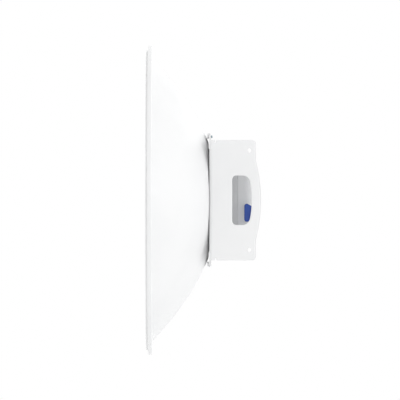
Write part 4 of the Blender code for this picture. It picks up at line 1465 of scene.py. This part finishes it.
class MakePortCover(bpy.types.Operator):
    """Mould the rear half of the port housing, with its round socket and the lever's lug"""

    bl_idname = "antenna.make_port_cover"
    bl_label = "Port cover"

    def execute(self, context):
        cover = lofted("port_cover", self.rings(), "port_plastic", closed=True)
        front, rear, _ = ends("port_shell")
        screw = high("port_screw_1")
        head_radius = screw.y - middle("port_screw_1")[0] + 2 * FIT_GAP
        drill(cover, front - 2 * OVERRUN, rear + OVERRUN, "port_screw")
        drill(cover, screw.x - PORT_HEAD - FIT_GAP, rear + OVERRUN, "port_screw", head_radius)
        combine(cover, hinge_ear(LUG_ROOT_Y - PIVOT.y, -LUG_HALF_WIDTH, LUG_HALF_WIDTH), "UNION")
        combine(cover, hinge_bore(), "DIFFERENCE")
        dress(cover, "port_shell")
        return {"FINISHED"}

    def rings(self):
        """Skin of the cover: outside, socket, underside of the cup, and pocket."""
        parting = high("port_base").x + FIT_GAP
        rear = high("port_shell").x
        half = high("port_base").z
        middle_x, middle_inset = PARTING_MIDDLE
        rings = [
            housing(parting, half, PARTING_GROOVE),
            housing(parting + middle_x, half, middle_inset),
            housing(parting + PARTING_GROOVE, half - COVER_DRAFT),
        ]
        for turn in spaced(math.pi / 2, 2 * CORNER_STEPS):
            x = rear - PORT_REAR_ROUND * (1 - math.sin(turn))
            rings.append(housing(x, PORT_REAR_HALF, PORT_REAR_ROUND * (1 - math.cos(turn))))
        for turn in spaced(math.pi / 2, RIM_STEPS):
            radius = SOCKET_RADIUS + MOUTH_ROUND * (1 - math.sin(turn))
            rings.append(circle_in_band(rear - MOUTH_ROUND * (1 - math.cos(turn)), radius))
        throat = TUBE_RADIUS + FIT_GAP
        cup_outer = SOCKET_RADIUS + SOCKET_WALL
        cup_front = SOCKET_FLOOR_X - SOCKET_WALL
        pocket_corner = PORT_CORNER - PORT_WALL
        return rings + inner_rings(
            (SOCKET_FLOOR_X, SOCKET_RADIUS),
            (SOCKET_FLOOR_X, throat + BORE_ROUND),
            (SOCKET_FLOOR_X - BORE_ROUND, throat),
            (cup_front, throat),
            (cup_front, cup_outer),
            (POCKET_X, cup_outer),
        ) + [band(x, POCKET_HALF, pocket_corner) for x in (POCKET_X, parting)]


class MakeSocketFittings(bpy.types.Operator):
    """Make the gasket and the slotted locking ring inside the socket"""

    bl_idname = "antenna.make_socket_fittings"
    bl_label = "Gasket and lock ring"

    def execute(self, context):
        self.make_gasket()
        self.make_lock_ring()
        return {"FINISHED"}

    def make_gasket(self):
        """Flat gasket with a rounded crown."""
        front, rear, outer = ends("port_gasket")
        inner = outer - GASKET_WIDTH
        crown = rear - GASKET_CROWN
        half = (outer - inner) / 2
        section = [Vector((front, inner)), Vector((crown, inner))]
        for turn in spaced(math.pi, 2 * CORNER_STEPS)[1:-1]:
            x = crown + GASKET_CROWN * math.sin(turn)
            section.append(Vector((x, inner + half * (1 - math.cos(turn)))))
        section += [Vector((crown, outer)), Vector((front, outer))]
        dress(turned("socket_gasket", section, "black_rubber"), "port_gasket")

    def make_lock_ring(self):
        """Ring whose inner lip is cut by three slots for the lugs of a radio."""
        front, rear, outer = ends("lock_ring")
        inner = outer - RING_WALL
        lip_front = rear - LOCK_LIP_THICK
        section = rounded([
            (front, inner, EDGE_ROUND),
            (front, outer, EDGE_ROUND),
            (rear, outer, EDGE_ROUND),
            (rear, LOCK_LIP_RADIUS, LOCK_LIP_ROUND),
            (lip_front, LOCK_LIP_RADIUS, EDGE_ROUND),
            (lip_front, inner, BROAD_ROUND),
        ])
        ring = turned("twist_ring", section, "bare_aluminium", sides=2 * ROUND_SIDES)
        bm = bmesh.new()
        for turn in all_round(LOCK_SLOTS):
            along = Vector((0.0, math.cos(turn + math.pi / 2), math.sin(turn + math.pi / 2)))
            across = Vector((0.0, -along.z, along.y))
            corners = ((LOCK_SLOT_INNER, -1), (inner, -1), (inner, 1), (LOCK_SLOT_INNER, 1))
            flat = [along * distance + across * side * LOCK_SLOT_HALF_WIDTH for distance, side in corners]
            places = (lip_front - OVERRUN, rear + OVERRUN)
            loft_into(bm, [[point + Vector((x, 0.0, 0.0)) for point in flat] for x in places])
        combine(ring, new_piece("slots", bm), "DIFFERENCE")
        dress(ring, "lock_ring")


# Release lever


class MakeLever(bpy.types.Operator):
    """Mould the sprung release lever and its hinge pin"""

    bl_idname = "antenna.make_lever"
    bl_label = "Release lever"

    def execute(self, context):
        outer = low("lock_lever").y - PIVOT.y
        lever_round = context.scene.antenna_shape.lever_round
        bm = plate_mesh([(self.outline(), lever_round, EAR_ROUND)], LEVER_THICK)
        reshape(bm, lambda point: Vector((point.x, outer + point.z, point.y)))
        lever = new_piece("release_lever", bm, "lever_blue", HINGE)
        near = LUG_HALF_WIDTH + EAR_SIDE_GAP
        for start, end in ((near, near + EAR_WIDTH), (-near - EAR_WIDTH, -near)):
            combine(lever, hinge_ear(outer + LEVER_THICK - EAR_OVERLAP, start, end), "UNION")
        combine(lever, hinge_bore(), "DIFFERENCE")
        dress(lever, "lock_lever", body="lever")
        dress(lofted("hinge_pin", self.pin_rings(), "steel", location=HINGE), "lever_pin")
        return {"FINISHED"}

    def outline(self):
        """Face of the lever about its hinge: slanted top, tapered rear edge, round tip."""
        front, tip = (low("lock_lever") - PIVOT).xz
        rear, top = (high("lock_lever") - PIVOT).xz
        top_reach, top_round = (share * LEVER_TOP_ROUND for share in LEVER_TOP_SHARES)
        outline = rounded([
            (front, tip, LEVER_TIP_FRONT_ROUND),
            (front, top, LEVER_TOP_ROUND),
            (front + top_reach, top, top_round),
            (rear, LEVER_SLANT_Z - PIVOT.z, LEVER_CORNER_ROUND),
            (LEVER_BOTTOM_REAR - PIVOT.x, tip, LEVER_TIP_REAR_ROUND),
        ], LEVER_STEPS)
        return outline[::-1]

    def pin_rings(self):
        """Pin with chamfered ends."""
        reach = pin_reach()
        shoulder = reach - EDGE_ROUND
        tip = PIN_RADIUS - EDGE_ROUND
        section = ((-reach, tip), (-shoulder, PIN_RADIUS), (shoulder, PIN_RADIUS), (reach, tip))
        return [circle(x, radius, SCREW_SIDES) for x, radius in section]


# Stage


def aimed(name, data, location, way):
    """Light or camera that looks a given way."""
    item = placed(name, data, location)
    item.rotation_euler = way.to_track_quat("-Z", "Y").to_euler()
    return item


class MakeStage(bpy.types.Operator):
    """Set the pale floor, the soft light and the camera at the side of the dish"""

    bl_idname = "antenna.make_stage"
    bl_label = "Stage"

    def execute(self, context):
        context.scene.view_settings.view_transform = "Standard"
        self.make_floor(context.scene.antenna_stage)
        self.make_world(context.scene)
        self.make_light(context.scene.antenna_stage)
        self.make_camera(context.scene)
        return {"FINISHED"}

    def make_floor(self, stage):
        """Large pale disc below the antenna: the light that it throws back is paler than it looks."""
        surface = Surface("pale_floor", roughness=0.85, colour=stage.floor_colour)
        surface.layer("Colour drift", Tint=(0.74, 0.74, 0.745), Scale=3.0, Amount=0.5)
        seen = add(surface.tree, "ShaderNodeLightPath").outputs["Is Camera Ray"]
        bounce = (*stage.floor_bounce, 1.0)
        surface.state["Colour"] = mixed(surface.tree, seen, bounce, surface.state["Colour"])
        bm = bmesh.new()
        bm.faces.new([bm.verts.new((point.y, point.z, 0.0)) for point in circle(0.0, FLOOR_RADIUS)])
        floor = new_piece("floor", bm, location=Vector((0.0, HALF_WIDTH, FLOOR_Z)))
        floor.data.materials.append(surface.done())

    def make_world(self, scene):
        """White surroundings that the camera sees as plain white, a little brighter behind the dish."""
        stage = scene.antenna_stage
        scene.world = bpy.data.worlds.new("studio")
        scene.world.use_nodes = True
        tree = scene.world.node_tree
        place = split(tree, add(tree, "ShaderNodeTexCoord").outputs["Generated"])
        lean = plus(tree, times(tree, place["X"], stage.sky_lean), 1.0)
        shade = ramped(tree, place["Y"], *SHADE_SPREAD, stage.camera_shade, 0.0)
        overhead = times(tree, place["Z"], stage.overhead_shade)
        sky = calculated(tree, "SUBTRACT", lean, plus(tree, shade, overhead))
        strength = times(tree, sky, stage.sky_strength)
        seen = add(tree, "ShaderNodeLightPath").outputs["Is Camera Ray"]
        background = tree.nodes["Background"]
        background.inputs["Color"].default_value = (1.0, 1.0, 1.0, 1.0)
        tree.links.new(mixed(tree, seen, strength, 1.0, "FLOAT"), background.inputs["Strength"])

    def make_light(self, stage):
        """One large soft light behind the dish."""
        data = bpy.data.lights.new("rear_softbox", "AREA")
        data.shape = "DISK"
        data.size = SOFTBOX_SIZE
        data.energy = stage.key_power
        aimed("rear_softbox", data, SOFTBOX_PLACE, -SOFTBOX_PLACE)

    def make_camera(self, scene):
        """Camera square to the side web, turned a little towards the rear."""
        data = bpy.data.cameras.new("side_camera")
        data.type = "ORTHO"
        data.ortho_scale = FRAME_WIDTH
        back = Vector((math.sin(CAMERA_AZIMUTH), -math.cos(CAMERA_AZIMUTH), 0.0))
        scene.camera = aimed("side_camera", data, IMAGE_CENTRE + back * CAMERA_DISTANCE, -back)


# Registration


OPERATORS = (
    MakeStage, MakeDish, MakeEdgeRing, MakeFeedTube, MakeFeedHead, MakeBracket, MakeBracketBolts,
    MakeScrews, MakePortTub, MakePortCover, MakeSocketFittings, MakeLever,
)
SETTINGS = {"antenna_shape": AntennaShape, "antenna_colours": AntennaColours, "antenna_stage": AntennaStage}


class ANTENNA_PT_build(bpy.types.Panel):
    """Sizes, colours and build steps of the antenna."""

    bl_label = "Dish antenna"
    bl_space_type = "VIEW_3D"
    bl_region_type = "UI"
    bl_category = "Antenna"

    def draw(self, context):
        for name, group in SETTINGS.items():
            box = self.layout.box()
            for prop in group.__annotations__:
                box.prop(getattr(context.scene, name), prop)
        column = self.layout.column(align=True)
        for operator in OPERATORS:
            column.operator(operator.bl_idname)


CLASSES = (*SETTINGS.values(), *OPERATORS, ANTENNA_PT_build)


def register():
    """Register the classes and hang the settings on the scene."""
    for item in CLASSES:
        bpy.utils.register_class(item)
    for name, group in SETTINGS.items():
        setattr(bpy.types.Scene, name, PointerProperty(type=group))


def unregister():
    """Take the settings and the classes away again."""
    for name in SETTINGS:
        delattr(bpy.types.Scene, name)
    for item in reversed(CLASSES):
        bpy.utils.unregister_class(item)


def main():
    """Make every piece in order."""
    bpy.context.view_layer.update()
    register()
    for operator in OPERATORS:
        group, name = operator.bl_idname.split(".")
        getattr(getattr(bpy.ops, group), name)()


if __name__ == "__main__":
    main()
